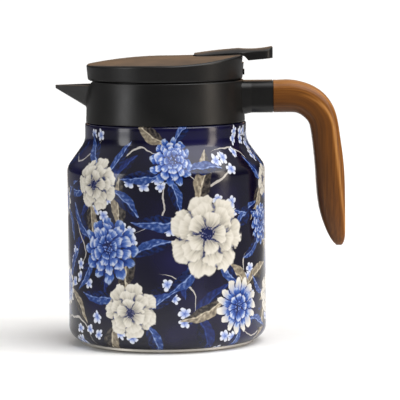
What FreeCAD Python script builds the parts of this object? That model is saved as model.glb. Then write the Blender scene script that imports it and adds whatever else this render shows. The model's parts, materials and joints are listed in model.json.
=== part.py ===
import FreeCAD, Part
import math
import os
from types import SimpleNamespace

import Sketcher

# A one-litre vacuum-insulated pouring pot. The axis of the jar is Z and the pot stands on z = 0.
# The spout points to -X and the handle to +X. Lengths are millimetres, angles are degrees.

SIZES = {
    # Outer shell, drawn from steel sheet
    "body_radius": 60.0,
    "sheet": 0.5,
    "corner_radius": 9.0,
    "lip_radius": 49.5,
    "shoulder_z": 104.0,
    "shoulder_radius": 10.0,
    "shoulder_lean": 36.0,
    "neck_radius": 48.8,
    "neck_sweep": 12.0,
    "step_z": 133.9,
    "step_round": 1.2,
    "mouth_radius": 45.7,
    "mouth_z": 147.7,
    # Inner liner, set in from the shell by the vacuum space
    "liner_inset": 4.7,
    "liner_floor": 10.0,
    "liner_corner": 12.0,
    # Disc that closes the vacuum space, with its evacuation hole, seal bead and getter
    "disc_radius": 51.0,
    "disc_sheet": 0.6,
    "disc_rise": 2.2,
    "disc_flat_radius": 44.0,
    "disc_flange": 4.0,
    "dimple_radius": 7.0,
    "dimple_depth": 1.4,
    "hole_radius": 1.0,
    "bead_radius": 3.0,
    "bead_drop": 1.0,
    "getter_x": 28.0,
    "getter_radius": 5.0,
    "getter_height": 2.5,
    # Base cap, the bare rim that the pot stands on
    "foot_radius": 52.2,
    "foot_height": 1.9,
    "foot_round": 0.8,
    "foot_width": 6.2,
    "foot_recess": 1.2,
    # Spout collar
    "collar_bottom": 134.2,
    "collar_top": 159.3,
    "collar_low_radius": 48.1,
    "collar_high_radius": 47.3,
    "collar_round": 0.6,
    "collar_fit": 0.2,
    "ledge_z": 149.5,
    "ledge_thickness": 1.8,
    "ledge_radius": 43.9,
    "collar_bore": 44.6,
    "spout_root_x": -44.0,
    "spout_tip_x": -66.3,
    "spout_top": 156.8,
    "spout_root_width": 29.0,
    "spout_root_depth": 15.6,
    "spout_root_keel": 4.5,
    "spout_tip_width": 4.6,
    "spout_tip_depth": 1.9,
    "spout_tip_keel": 1.0,
    "spout_wall": 1.8,
    "spout_blend": 1.8,
    "trough_floor": 151.5,
    "trough_keel": 3.0,
    "trough_lip_width": 1.8,
    "trough_lip_depth": 0.9,
    "trough_lip_keel": 0.5,
    "notch_width": 36.0,
    # Arm of the collar, with the tenon that keys the grip
    "arm_start": 40.0,
    "arm_end": 64.9,
    "arm_z": 148.9,
    "arm_height": 19.2,
    "arm_width": 22.0,
    "arm_round": 5.0,
    "arm_flare": 2.2,
    "arm_flare_end": 52.0,
    "shadow_gap": 0.4,
    "shadow_inset": 1.6,
    "tenon_z": 153.4,
    "tenon_height": 5.0,
    "tenon_width": 9.0,
    "tenon_length": 6.0,
    # Wooden grip: a straight start, a round bend and a tapering leg
    "bend_x": 75.3,
    "bend_radius": 21.2,
    "bend_height": 17.0,
    "bend_width": 23.0,
    "leg_upper_z": 104.0,
    "leg_upper_inner": 90.5,
    "leg_outer": 107.8,
    "leg_lower_z": 80.5,
    "leg_lower_inner": 92.7,
    "leg_belly": 0.5,
    "nose_z": 68.5,
    "nose_inner": 96.4,
    "tip_z": 60.8,
    "tip_inner": 100.5,
    "tip_outer": 107.6,
    "tip_width": 13.0,
    "end_z": 58.1,
    "end_inner": 103.0,
    "end_outer": 106.2,
    "end_width": 7.0,
    "grip_round": 0.3,
    # Bolt, washer and threaded insert that hold the grip
    "bolt_z": 145.0,
    "bolt_radius": 1.95,
    "bolt_end": 80.0,
    "head_radius": 3.6,
    "head_height": 2.4,
    "head_seat": 50.2,
    "washer_radius": 4.0,
    "washer_thickness": 0.8,
    "bolt_play": 0.1,
    "insert_radius": 3.0,
    "insert_start": 66.3,
    "insert_end": 81.0,
    # Neck gasket
    "gasket_inner": 43.8,
    "gasket_outer": 45.6,
    # Stopper cup with its seal ring
    "cup_radius": 42.4,
    "cup_bottom": 138.0,
    "cup_top": 157.4,
    "cup_floor": 2.0,
    "cup_wall": 3.0,
    "cup_chamfer": 1.0,
    "port_radius": 9.0,
    "groove_z": 142.2,
    "groove_height": 4.1,
    "groove_depth": 1.5,
    "ring_outer": 43.3,
    "ring_gap": 0.3,
    "ring_lip": 0.9,
    "window_width": 18.0,
    "window_bottom": 151.8,
    "window_top": 156.8,
    "window_count": 8,
    # Mechanism deck with the stem's guide and the lever's posts
    "deck_radius": 44.1,
    "deck_top": 159.4,
    "rim_radius": 44.9,
    "rim_bottom": 159.6,
    "rim_top": 161.6,
    "rim_wall": 2.0,
    "guide_bottom": 153.4,
    "guide_radius": 5.0,
    "guide_bore": 2.6,
    "seal_groove_z": 154.5,
    "seal_groove_height": 1.6,
    "seal_groove_radius": 4.1,
    "seal_wire": 0.75,
    "seal_inner": 2.55,
    "pivot_x": 26.0,
    "pivot_z": 165.0,
    "post_inner": 7.6,
    "post_thickness": 2.8,
    "post_round": 3.2,
    "post_foot": 5.0,
    "pin_radius": 1.5,
    "pin_fit": 0.03,
    "pin_play": 0.06,
    # Lid cover: domed, falling to the spout and sweeping up a little to the rear
    "cover_bottom": 159.6,
    "cover_low_radius": 46.75,
    "cover_flare": 0.092,
    "cover_tuck": 1.5,
    "cover_wall": 1.8,
    "cover_crown_z": 173.75,
    "cover_front_bend": 245.0,
    "cover_rear_bend": 800.0,
    "cover_side_fall": 6.2,
    "cover_round": 1.4,
    "slot_gap": 0.6,
    "slot_floor": 169.4,
    "nub_z": 163.8,
    "nub_width": 6.0,
    "nub_height": 3.4,
    "nub_reach": 48.0,
    # Thumb lever: paddle, neck and pad above the lid, web and fork inside it
    "lever_front": 17.6,
    "lever_end": 65.1,
    "lever_width": 20.0,
    "lever_corner": 5.0,
    "lever_front_top": 175.3,
    "lever_front_edge": 173.6,
    "lever_peak_x": 44.6,
    "lever_peak_z": 178.15,
    "lever_peak_edge": 175.6,
    "lever_end_z": 179.4,
    "lever_end_edge": 178.0,
    "lever_arch": 300.0,
    "lever_hollow": 62.0,
    "lever_top_round": 0.7,
    "plate_bottom": 171.6,
    "pad_bottom_x": 50.4,
    "pad_bottom_z": 170.95,
    "pad_end_bottom": 172.3,
    "throat_start": 43.0,
    "throat_x": 47.8,
    "throat_z": 173.7,
    "throat_slope": 2.0,
    "waist_x": 52.6,
    "waist_depth": 1.0,
    "waist_reach": 6.0,
    "pad_corner": 6.0,
    "boss_radius": 3.4,
    "boss_width": 14.4,
    "web_splay": 1.5,
    "fork_end": -4.0,
    "fork_bottom": 160.0,
    "fork_top": 161.3,
    "fork_width": 11.0,
    "fork_slot": 5.8,
    "fork_slot_end": 3.6,
    "fork_gusset_x": 6.0,
    "lift_bump": 1.2,
    "lift_rise": 0.9,
    # Pull-up valve
    "stem_radius": 2.5,
    "stem_top": 162.5,
    "spigot_radius": 4.0,
    "bead_bottom": 139.4,
    "stem_bead": 4.6,
    "seal_bottom": 140.3,
    "seal_top": 143.3,
    "seal_radius": 11.5,
    "flange_radius": 9.5,
    "flange_thickness": 1.5,
    "stub_radius": 1.5,
    "stem_head_radius": 5.5,
    "stem_head_height": 1.5,
    # Valve spring
    "spring_radius": 7.2,
    "spring_wire": 0.8,
    "spring_turns": 5,
}

doc = FreeCAD.newDocument("pouring_pot")
sheet = doc.addObject("Spreadsheet::Sheet", "dims")
for row, (alias, number) in enumerate(SIZES.items(), 1):
    sheet.set(f"A{row}", alias)
    sheet.set(f"B{row}", str(number))
    sheet.setAlias(f"B{row}", alias)
doc.recompute()


class Size:
    """A size with its value now and the sheet expression that it follows."""

    def __init__(self, text, value):
        self.text = text
        self.value = value

    def __add__(self, other):
        other = as_size(other)
        return Size(f"({self.text} + {other.text})", self.value + other.value)

    def __sub__(self, other):
        other = as_size(other)
        return Size(f"({self.text} - {other.text})", self.value - other.value)

    def __mul__(self, other):
        other = as_size(other)
        return Size(f"({self.text} * {other.text})", self.value * other.value)

    def __truediv__(self, other):
        other = as_size(other)
        return Size(f"({self.text} / {other.text})", self.value / other.value)

    def __neg__(self):
        return Size(f"(0 - {self.text})", -self.value)


def as_size(number):
    return number if isinstance(number, Size) else Size(str(float(number)), float(number))


def sine(angle):
    return Size(f"sin({angle.text} * 1 deg)", math.sin(math.radians(angle.value)))


def cosine(angle):
    return Size(f"cos({angle.text} * 1 deg)", math.cos(math.radians(angle.value)))


d = SimpleNamespace(**{name: Size(f"dims.{name}", sheet.get(name)) for name in SIZES})
ZERO = as_size(0)
NODES = []


# Drawing helpers: bodies, sketches, outlines and features

def new_body(label):
    body = doc.addObject("PartDesign::Body", label)
    body.Label = label
    NODES.append(body)
    return body


def sketch_on(body, name, plane, offset=ZERO, lift=ZERO, tilt=None):
    """A sketch on an origin plane, moved along the plane's normal and its upright direction."""
    sketch = body.newObject("Sketcher::SketchObject", name)
    support = next(feature for feature in body.Origin.OriginFeatures if feature.Role == plane)
    sketch.AttachmentSupport = [(support, "")]
    sketch.MapMode = "FlatFace"
    turn = FreeCAD.Rotation(FreeCAD.Vector(1, 0, 0), tilt.value if tilt else 0)
    sketch.AttachmentOffset = FreeCAD.Placement(FreeCAD.Vector(0, lift.value, offset.value), turn)
    sketch.setExpression("AttachmentOffset.Base.y", lift.text)
    sketch.setExpression("AttachmentOffset.Base.z", offset.text)
    if tilt:
        sketch.setExpression("AttachmentOffset.Rotation.Angle", f"{tilt.text} * 1 deg")
    return sketch


def hold(sketch, kind, *places, size):
    number = sketch.addConstraint(Sketcher.Constraint(kind, *places, size.value))
    sketch.setExpression(f"Constraints[{number}]", size.text)


def arc_between(start, end, bend):
    """The arc from start to end; a positive bend turns left and a negative one turns right."""
    chord = end - start
    rise = math.sqrt(bend ** 2 - (chord.Length / 2) ** 2)
    left = FreeCAD.Vector(-chord.y, chord.x, 0).normalize()
    centre = (start + end) / 2 + left * math.copysign(rise, bend)
    first, last = (start, end) if bend > 0 else (end, start)
    angles = [math.atan2(point.y - centre.y, point.x - centre.x) for point in (first, last)]
    circle = Part.Circle(centre, FreeCAD.Vector(0, 0, 1), abs(bend))
    return Part.ArcOfCircle(circle, *angles)


def outline(sketch, corners):
    """A closed outline. A corner that an arc leads to has the arc's radius as its third size."""
    corners = [tuple(as_size(size) for size in corner) for corner in corners]
    points = [FreeCAD.Vector(corner[0].value, corner[1].value, 0) for corner in corners]
    ends = []
    for index, corner in enumerate(corners):
        following = (index + 1) % len(corners)
        start, end = points[index], points[following]
        if len(corners[following]) == 2:
            edge = sketch.addGeometry(Part.LineSegment(start, end))
            ends.append((edge, 1, 2))
        else:
            bend = corners[following][2]
            edge = sketch.addGeometry(arc_between(start, end, bend.value))
            ends.append((edge, 1, 2) if bend.value > 0 else (edge, 2, 1))
            hold(sketch, "Radius", edge, size=bend if bend.value > 0 else -bend)
    for index, (edge, begin, _) in enumerate(ends):
        last_edge, _, finish = ends[index - 1]
        sketch.addConstraint(Sketcher.Constraint("Coincident", last_edge, finish, edge, begin))
        hold(sketch, "DistanceX", -1, 1, edge, begin, size=corners[index][0])
        hold(sketch, "DistanceY", -1, 1, edge, begin, size=corners[index][1])
    return sketch


def backwards(path):
    """The same path walked from its end, with each arc bent the other way."""
    path = [tuple(as_size(size) for size in corner) for corner in path]
    turned = [path[-1][:2]]
    for index in range(len(path) - 1, 0, -1):
        bend = path[index][2:]
        turned.append(path[index - 1][:2] + tuple(-size for size in bend))
    return turned


def circle(sketch, across, up, radius):
    centre = FreeCAD.Vector(across.value, up.value, 0)
    edge = sketch.addGeometry(Part.Circle(centre, FreeCAD.Vector(0, 0, 1), radius.value))
    hold(sketch, "DistanceX", -1, 1, edge, 3, size=across)
    hold(sketch, "DistanceY", -1, 1, edge, 3, size=up)
    hold(sketch, "Radius", edge, size=radius)
    return sketch


def box_outline(sketch, across, up, width, height, corner=None):
    """A rectangle about a centre, with rounded corners if a radius is given."""
    left, right = across - width / 2, across + width / 2
    low, high = up - height / 2, up + height / 2
    if corner is None:
        return outline(sketch, [(left, low), (right, low), (right, high), (left, high)])
    return outline(sketch, [
        (left + corner, low, corner), (right - corner, low), (right, low + corner, corner),
        (right, high - corner), (right - corner, high, corner), (left + corner, high),
        (left, high - corner, corner), (left, low + corner),
    ])


def add(body, kind, name, profile, **settings):
    """A feature of a body. A size among its settings is bound to the sheet."""
    feature = body.newObject(f"PartDesign::{kind}", name)
    feature.Profile = profile
    for setting, value in settings.items():
        if isinstance(value, Size):
            feature.setExpression(setting, value.text)
        else:
            setattr(feature, setting, value)
    return feature


def cut(body, kind, name, profile, **settings):
    """A feature that takes material away, and must."""
    doc.recompute()
    before = body.Shape.Volume
    feature = add(body, kind, name, profile, **settings)
    doc.recompute()
    if body.Shape.Volume > before - 0.01:
        raise RuntimeError(f"{body.Label}: {name} cuts nothing")
    return feature


def turned(body, name, corners, axis="V_Axis", lift=ZERO):
    sketch = outline(sketch_on(body, f"{name}_profile", "XZ_Plane", lift=lift), corners)
    return add(body, "Revolution", name, sketch, ReferenceAxis=(sketch, [axis]), Angle=360)


def rounded(body, name, base, radius, chosen):
    """A fillet on the edges of the base feature that a test picks out."""
    doc.recompute()
    edges = [f"Edge{number}" for number, edge in enumerate(base.Shape.Edges, 1) if chosen(edge)]
    feature = body.newObject("PartDesign::Fillet", name)
    feature.Base = (base, edges)
    feature.setExpression("Radius", radius.text)
    doc.recompute()
    return feature


# Vacuum vessel

def shoulder_path(inset):
    """The jar's outline from the top of its wall to its neck, moved in by the inset."""
    lean_cos, lean_sin = cosine(d.shoulder_lean), sine(d.shoulder_lean)
    bend, sweep = d.shoulder_radius, d.neck_sweep
    straight = (d.body_radius - bend - d.neck_radius - sweep + (bend + sweep) * lean_cos) / lean_sin
    neck_start = d.shoulder_z + (bend + sweep) * lean_sin + straight * lean_cos
    return [
        (d.body_radius - inset, d.shoulder_z),
        (d.body_radius - bend + (bend - inset) * lean_cos, d.shoulder_z + (bend - inset) * lean_sin,
         bend - inset),
        (d.neck_radius + sweep - (sweep + inset) * lean_cos, neck_start - (sweep + inset) * lean_sin),
        (d.neck_radius - inset, neck_start, -(sweep + inset)),
    ]


def make_outer_shell():
    def path(inset):
        return [
            (d.lip_radius, d.foot_height + inset),
            (d.body_radius - d.corner_radius, d.foot_height + inset),
            (d.body_radius - inset, d.foot_height + d.corner_radius, d.corner_radius - inset),
            *shoulder_path(inset),
            (d.neck_radius - inset, d.step_z - d.step_round),
            (d.neck_radius - d.step_round, d.step_z - inset, d.step_round - inset),
            (d.mouth_radius - inset, d.step_z - inset),
            (d.mouth_radius - inset, d.mouth_z),
        ]

    turned(new_body("outer_shell"), "jar", path(ZERO) + backwards(path(d.sheet)))


def make_inner_liner():
    def path(depth):
        inset = d.liner_inset + depth
        return [
            (ZERO, d.liner_floor + depth),
            (d.body_radius - d.liner_inset - d.liner_corner, d.liner_floor + depth),
            (d.body_radius - inset, d.liner_floor + d.liner_corner, d.liner_corner - depth),
            *shoulder_path(inset),
            (d.neck_radius - inset, d.mouth_z + depth),
        ]

    lip = [(d.mouth_radius, d.mouth_z), (d.mouth_radius, d.mouth_z + d.sheet)]
    turned(new_body("inner_liner"), "bottle", path(ZERO) + lip + backwards(path(d.sheet)))


DISC_SEAT = d.foot_height + d.sheet
DISC_Z = DISC_SEAT + d.disc_rise
DIMPLE_Z = DISC_Z - d.dimple_depth


def make_shell_bottom():
    def path(height):
        return [
            (d.hole_radius, DIMPLE_Z + height),
            (d.dimple_radius, DIMPLE_Z + height),
            (d.dimple_radius + d.dimple_depth, DISC_Z + height),
            (d.disc_flat_radius, DISC_Z + height),
            (d.disc_radius - d.disc_flange, DISC_SEAT + height),
            (d.disc_radius, DISC_SEAT + height),
        ]

    turned(new_body("shell_bottom"), "disc", path(ZERO) + backwards(path(d.disc_sheet)))


def make_seal_bead():
    dome = (d.bead_radius * d.bead_radius + d.bead_drop * d.bead_drop) / (d.bead_drop * 2)
    turned(new_body("seal_bead"), "bead", [
        (ZERO, DIMPLE_Z - d.bead_drop), (d.bead_radius, DIMPLE_Z, dome), (d.hole_radius, DIMPLE_Z),
        (d.hole_radius, DIMPLE_Z + d.disc_sheet), (ZERO, DIMPLE_Z + d.disc_sheet),
    ])


def make_vacuum_getter():
    body = new_body("vacuum_getter")
    low = DISC_Z + d.disc_sheet
    high = low + d.getter_height
    turned(body, "capsule", [
        (ZERO, low), (d.getter_radius, low), (d.getter_radius, high - d.disc_sheet),
        (d.getter_radius - d.disc_sheet, high, d.disc_sheet), (ZERO, high),
    ])
    body.setExpression("Placement.Base.x", d.getter_x.text)


def make_base_cap():
    bevel = math.sqrt(2) - 1
    foot_end = d.foot_radius - d.foot_round
    foot_start = foot_end - d.foot_width

    def path(height):
        return [
            (ZERO, d.foot_recess + height),
            (foot_start - d.foot_recess + height * bevel, d.foot_recess + height),
            (foot_start + height * bevel, height),
            (foot_end, height),
            (d.foot_radius - height, d.foot_round, d.foot_round - height),
            (d.foot_radius - height, d.foot_height),
        ]

    turned(new_body("base_cap"), "cap", path(ZERO) + backwards(path(d.sheet)))


def make_neck_gasket():
    low, high = d.mouth_z + d.sheet, d.ledge_z
    turned(new_body("neck_gasket"), "ring", [
        (d.gasket_inner, low), (d.gasket_outer, low), (d.gasket_outer, high), (d.gasket_inner, high),
    ])


# Spout collar

def spout_section(body, name, across, top, width, depth, keel):
    """A V section with a rounded keel, square to the spout's length."""
    sketch = sketch_on(body, name, "YZ_Plane", offset=across)
    half, centre_z = width / 2, top - depth + keel
    centre = FreeCAD.Vector(0, centre_z.value, 0)
    corner = FreeCAD.Vector(half.value, top.value, 0)
    reach = corner - centre
    lean = math.atan2(reach.y, reach.x) - math.acos(keel.value / reach.Length)
    touch = centre + FreeCAD.Vector(math.cos(lean), math.sin(lean), 0) * keel.value
    mirror = FreeCAD.Vector(-touch.x, touch.y, 0)
    far_corner = FreeCAD.Vector(-corner.x, corner.y, 0)
    rim = sketch.addGeometry(Part.LineSegment(far_corner, corner))
    right = sketch.addGeometry(Part.LineSegment(corner, touch))
    round_keel = Part.Circle(centre, FreeCAD.Vector(0, 0, 1), keel.value)
    bottom = sketch.addGeometry(Part.ArcOfCircle(round_keel, math.pi - lean, 2 * math.pi + lean))
    left = sketch.addGeometry(Part.LineSegment(mirror, far_corner))
    sketch.addConstraint(Sketcher.Constraint("Coincident", rim, 2, right, 1))
    sketch.addConstraint(Sketcher.Constraint("Coincident", left, 2, rim, 1))
    sketch.addConstraint(Sketcher.Constraint("Tangent", right, 2, bottom, 2))
    sketch.addConstraint(Sketcher.Constraint("Tangent", left, 1, bottom, 1))
    for end, side in ((1, -half), (2, half)):
        hold(sketch, "DistanceX", -1, 1, rim, end, size=side)
        hold(sketch, "DistanceY", -1, 1, rim, end, size=top)
    hold(sketch, "DistanceX", -1, 1, bottom, 3, size=ZERO)
    hold(sketch, "DistanceY", -1, 1, bottom, 3, size=centre_z)
    hold(sketch, "Radius", bottom, size=keel)
    return sketch


def make_spout_collar():
    body = new_body("spout_collar")
    low, high, edge = d.collar_bottom, d.collar_top, d.collar_round
    turned(body, "ring", [
        (ZERO, low), (d.collar_low_radius - edge, low), (d.collar_low_radius, low + edge, edge),
        (d.collar_high_radius, high - edge), (d.collar_high_radius - edge, high, edge), (ZERO, high),
    ])

    root = spout_section(body, "spout_root", d.spout_root_x, d.spout_top, d.spout_root_width,
                         d.spout_root_depth, d.spout_root_keel)
    tip = spout_section(body, "spout_tip", d.spout_tip_x, d.spout_top, d.spout_tip_width,
                        d.spout_tip_depth, d.spout_tip_keel)
    spout = add(body, "AdditiveLoft", "spout", root, Sections=[tip], Ruled=True)

    def joins_spout(edge_shape):
        points = edge_shape.discretize(7)
        fall = (d.collar_low_radius.value - d.collar_high_radius.value) / (high - low - edge * 2).value
        on_ring = all(
            abs(math.hypot(p.x, p.y) - d.collar_low_radius.value + fall * (p.z - (low + edge).value)) < 0.05
            for p in points)
        climbs = max(p.z for p in points) - min(p.z for p in points) > 1
        return on_ring and climbs and all(p.x < -20 for p in points)

    rounded(body, "spout_blend", spout, d.spout_blend, joins_spout)

    flare = sketch_on(body, "arm_root", "YZ_Plane", offset=d.arm_start)
    box_outline(flare, ZERO, d.arm_z - d.arm_flare / 2, d.arm_width + d.arm_flare * 2,
                d.arm_height + d.arm_flare, d.arm_round)
    flare_end = sketch_on(body, "arm_root_end", "YZ_Plane", offset=d.arm_flare_end)
    box_outline(flare_end, ZERO, d.arm_z, d.arm_width, d.arm_height, d.arm_round)
    add(body, "AdditiveLoft", "arm_flare", flare, Sections=[flare_end], Ruled=True)
    section = sketch_on(body, "arm_section", "YZ_Plane", offset=d.arm_start)
    box_outline(section, ZERO, d.arm_z, d.arm_width, d.arm_height, d.arm_round)
    add(body, "Pad", "arm", section, Length=d.arm_end - d.arm_start)
    inset = d.shadow_inset * 2
    boss = sketch_on(body, "boss_section", "YZ_Plane", offset=d.arm_end)
    box_outline(boss, ZERO, d.arm_z, d.arm_width - inset, d.arm_height - inset, d.arm_round - d.shadow_inset)
    add(body, "Pad", "shadow_boss", boss, Length=d.shadow_gap)
    tenon = sketch_on(body, "tenon_section", "YZ_Plane", offset=d.arm_end)
    box_outline(tenon, ZERO, d.tenon_z, d.tenon_width, d.tenon_height)
    add(body, "Pad", "tenon", tenon, Length=d.shadow_gap + d.tenon_length)

    fit = d.mouth_radius + d.collar_fit
    past = as_size(1)
    bore = outline(sketch_on(body, "bore_profile", "XZ_Plane"), [
        (ZERO, low - past), (fit, low - past), (fit, d.ledge_z), (d.ledge_radius, d.ledge_z),
        (d.ledge_radius, d.ledge_z + d.ledge_thickness), (d.collar_bore, d.ledge_z + d.ledge_thickness),
        (d.collar_bore, high + past), (ZERO, high + past),
    ])
    cut(body, "Groove", "bore", bore, ReferenceAxis=(bore, ["V_Axis"]), Angle=360)

    over = as_size(0.5)
    trough_top = d.spout_top + over
    trough_root = spout_section(
        body, "trough_root", d.spout_root_x + d.spout_wall, trough_top,
        d.spout_root_width - d.spout_wall * 2, trough_top - d.trough_floor, d.trough_keel)
    trough_lip = spout_section(
        body, "trough_lip", d.spout_tip_x - over, trough_top, d.trough_lip_width,
        d.trough_lip_depth + over, d.trough_lip_keel)
    cut(body, "SubtractiveLoft", "trough", trough_root, Sections=[trough_lip], Ruled=True)

    notch_low, notch_high = d.spout_root_width / 2, d.notch_width / 2
    notch = outline(sketch_on(body, "notch_profile", "YZ_Plane"), [
        (-notch_low, d.spout_top), (notch_low, d.spout_top), (notch_high, high + past),
        (-notch_high, high + past),
    ])
    cut(body, "Pocket", "rim_notch", notch, Length=d.body_radius)

    hole = circle(sketch_on(body, "bolt_hole", "YZ_Plane", offset=d.arm_end + past), ZERO, d.bolt_z,
                  d.bolt_radius + d.bolt_play)
    cut(body, "Pocket", "bolt_bore", hole, Length=d.arm_end + past - d.arm_start)
    seat = circle(sketch_on(body, "head_hole", "YZ_Plane", offset=d.head_seat), ZERO, d.bolt_z,
                  d.washer_radius + d.bolt_play)
    cut(body, "Pocket", "head_bore", seat, Length=d.head_seat - d.arm_start)


# Handle

GRIP_START = d.arm_end + d.shadow_gap


def make_handle_grip():
    body = new_body("handle_grip")
    bend_z = d.arm_z - d.bend_radius
    stations = [(GRIP_START, d.arm_z, ZERO, d.arm_height, d.arm_width)]
    stations.append(((GRIP_START + d.bend_x) / 2, *stations[0][1:]))
    quarter, steps = as_size(90), 3
    for step in range(steps + 1):
        share = as_size(step / steps)
        turn = quarter * share
        stations.append((
            d.bend_x + d.bend_radius * sine(turn), bend_z + d.bend_radius * cosine(turn), turn,
            d.arm_height + (d.bend_height - d.arm_height) * share,
            d.arm_width + (d.bend_width - d.arm_width) * share,
        ))
    lower_width = (d.bend_width + d.tip_width) / 2
    for z, inner, outer, width in (
        (d.leg_upper_z, d.leg_upper_inner, d.leg_outer, d.bend_width),
        (d.leg_lower_z, d.leg_lower_inner, d.leg_outer + d.leg_belly, (d.bend_width + lower_width) / 2),
        (d.nose_z, d.nose_inner, d.leg_outer + d.leg_belly, lower_width),
        (d.tip_z, d.tip_inner, d.tip_outer, d.tip_width),
        (d.end_z, d.end_inner, d.end_outer, d.end_width),
    ):
        stations.append(((inner + outer) / 2, z, quarter, outer - inner, width))

    sections = []
    for number, (x, z, turn, height, width) in enumerate(stations):
        section = sketch_on(body, f"grip_section_{number}", "YZ_Plane", offset=x, lift=z, tilt=turn)
        sections.append(box_outline(section, ZERO, ZERO, width, height, height * d.grip_round))
    add(body, "AdditiveLoft", "grip", sections[0], Sections=sections[1:])

    ease = d.bolt_play * 2
    mortise = box_outline(sketch_on(body, "mortise_section", "YZ_Plane", offset=GRIP_START), ZERO,
                          d.tenon_z, d.tenon_width + ease, d.tenon_height + ease)
    cut(body, "Pocket", "mortise", mortise, Length=d.tenon_length + d.bolt_play, Reversed=True)
    socket = circle(sketch_on(body, "insert_hole", "YZ_Plane", offset=GRIP_START), ZERO, d.bolt_z,
                    d.insert_radius)
    cut(body, "Pocket", "insert_socket", socket, Length=d.insert_end - GRIP_START, Reversed=True)


def make_handle_fasteners():
    washer_start = d.head_seat - d.washer_thickness
    head_start = washer_start - d.head_height
    turned(new_body("handle_bolt"), "bolt", [
        (head_start, ZERO), (d.bolt_end, ZERO), (d.bolt_end, d.bolt_radius),
        (washer_start, d.bolt_radius), (washer_start, d.head_radius), (head_start, d.head_radius),
    ], axis="H_Axis", lift=d.bolt_z)
    loose = d.bolt_radius + d.bolt_play
    turned(new_body("bolt_washer"), "washer", [
        (washer_start, loose), (d.head_seat, loose), (d.head_seat, d.washer_radius),
        (washer_start, d.washer_radius),
    ], axis="H_Axis", lift=d.bolt_z)
    turned(new_body("grip_insert"), "insert", [
        (d.insert_start, d.bolt_radius), (d.insert_end, d.bolt_radius),
        (d.insert_end, d.insert_radius), (d.insert_start, d.insert_radius),
    ], axis="H_Axis", lift=d.bolt_z)


# Stopper and deck

def make_stopper_seal():
    inner = d.cup_radius - d.groove_depth + d.ring_gap
    low, high = d.groove_z + d.ring_gap, d.groove_z + d.groove_height - d.ring_gap
    waist = d.ring_outer - d.ring_lip
    turned(new_body("stopper_seal"), "ring", [
        (inner, low), (waist, low), (d.ring_outer, low + d.ring_lip), (waist, low + d.ring_lip * 1.5),
        (waist, high - d.ring_lip * 1.5), (d.ring_outer, high - d.ring_lip), (waist, high), (inner, high),
    ])


def make_stopper_cup():
    body = new_body("stopper_cup")
    groove = d.cup_radius - d.groove_depth
    floor = d.cup_bottom + d.cup_floor
    turned(body, "cup", [
        (d.port_radius, d.cup_bottom), (d.cup_radius - d.cup_chamfer, d.cup_bottom),
        (d.cup_radius, d.cup_bottom + d.cup_chamfer), (d.cup_radius, d.groove_z), (groove, d.groove_z),
        (groove, d.groove_z + d.groove_height), (d.cup_radius, d.groove_z + d.groove_height),
        (d.cup_radius, d.cup_top), (d.cup_radius - d.cup_wall, d.cup_top),
        (d.cup_radius - d.cup_wall, floor), (d.port_radius, floor),
    ])
    window = box_outline(sketch_on(body, "window_section", "YZ_Plane"), ZERO,
                         (d.window_bottom + d.window_top) / 2, d.window_width,
                         d.window_top - d.window_bottom)
    first = cut(body, "Pocket", "window", window, Length=d.body_radius)
    ring = body.newObject("PartDesign::PolarPattern", "windows")
    ring.Originals = [first]
    ring.Axis = (window, ["V_Axis"])
    ring.Angle = 360
    ring.setExpression("Occurrences", d.window_count.text)
    body.Tip = ring


def make_mechanism_deck():
    body = new_body("mechanism_deck")
    groove_top = d.seal_groove_z + d.seal_groove_height
    rim_inner = d.rim_radius - d.rim_wall
    turned(body, "plate", [
        (d.guide_bore, d.guide_bottom), (d.guide_radius, d.guide_bottom), (d.guide_radius, d.cup_top),
        (d.deck_radius, d.cup_top), (d.deck_radius, d.rim_bottom), (d.rim_radius, d.rim_bottom),
        (d.rim_radius, d.rim_top), (rim_inner, d.rim_top), (rim_inner, d.deck_top),
        (d.guide_bore, d.deck_top), (d.guide_bore, groove_top), (d.seal_groove_radius, groove_top),
        (d.seal_groove_radius, d.seal_groove_z), (d.guide_bore, d.seal_groove_z),
    ])
    sink = as_size(0.5)
    for side, offset in (("near", d.post_inner), ("far", -(d.post_inner + d.post_thickness))):
        post = outline(sketch_on(body, f"{side}_post_section", "XZ_Plane", offset=offset), [
            (d.pivot_x - d.post_foot, d.deck_top - sink), (d.pivot_x + d.post_foot, d.deck_top - sink),
            (d.pivot_x + d.post_round, d.pivot_z), (d.pivot_x, d.pivot_z + d.post_round, d.post_round),
            (d.pivot_x - d.post_round, d.pivot_z, d.post_round),
        ])
        add(body, "Pad", f"{side}_post", post, Length=d.post_thickness)
    hole = circle(sketch_on(body, "pin_hole", "XZ_Plane"), d.pivot_x, d.pivot_z, d.pin_radius + d.pin_fit)
    cut(body, "Pocket", "pin_bore", hole, Length=d.body_radius, SideType="Symmetric")


def make_stem_seal():
    seal = doc.addObject("Part::Torus", "stem_seal")
    seal.Label = "stem_seal"
    seal.setExpression("Radius1", (d.seal_inner + d.seal_wire).text)
    seal.setExpression("Radius2", d.seal_wire.text)
    seal.setExpression("Placement.Base.z", (d.seal_groove_z + d.seal_groove_height / 2).text)
    NODES.append(seal)


# Lid cover and lever

def lever_plan(sketch, gap):
    """The lever seen from above, grown by a gap."""
    half = d.lever_width / 2 + gap
    front, end = d.lever_front - gap, d.lever_end + gap
    front_corner, end_corner = d.lever_corner + gap, d.pad_corner + gap
    waist = -((d.waist_reach * d.waist_reach + d.waist_depth * d.waist_depth) / (d.waist_depth * 2))
    waist_start, waist_end = d.waist_x - d.waist_reach, d.waist_x + d.waist_reach
    return outline(sketch, [
        (front + front_corner, -half, front_corner), (waist_start, -half), (waist_end, -half, waist),
        (end - end_corner, -half), (end, end_corner - half, end_corner), (end, half - end_corner),
        (end - end_corner, half, end_corner), (waist_end, half), (waist_start, half, waist),
        (front + front_corner, half), (front, half - front_corner, front_corner),
        (front, front_corner - half),
    ])


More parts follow.
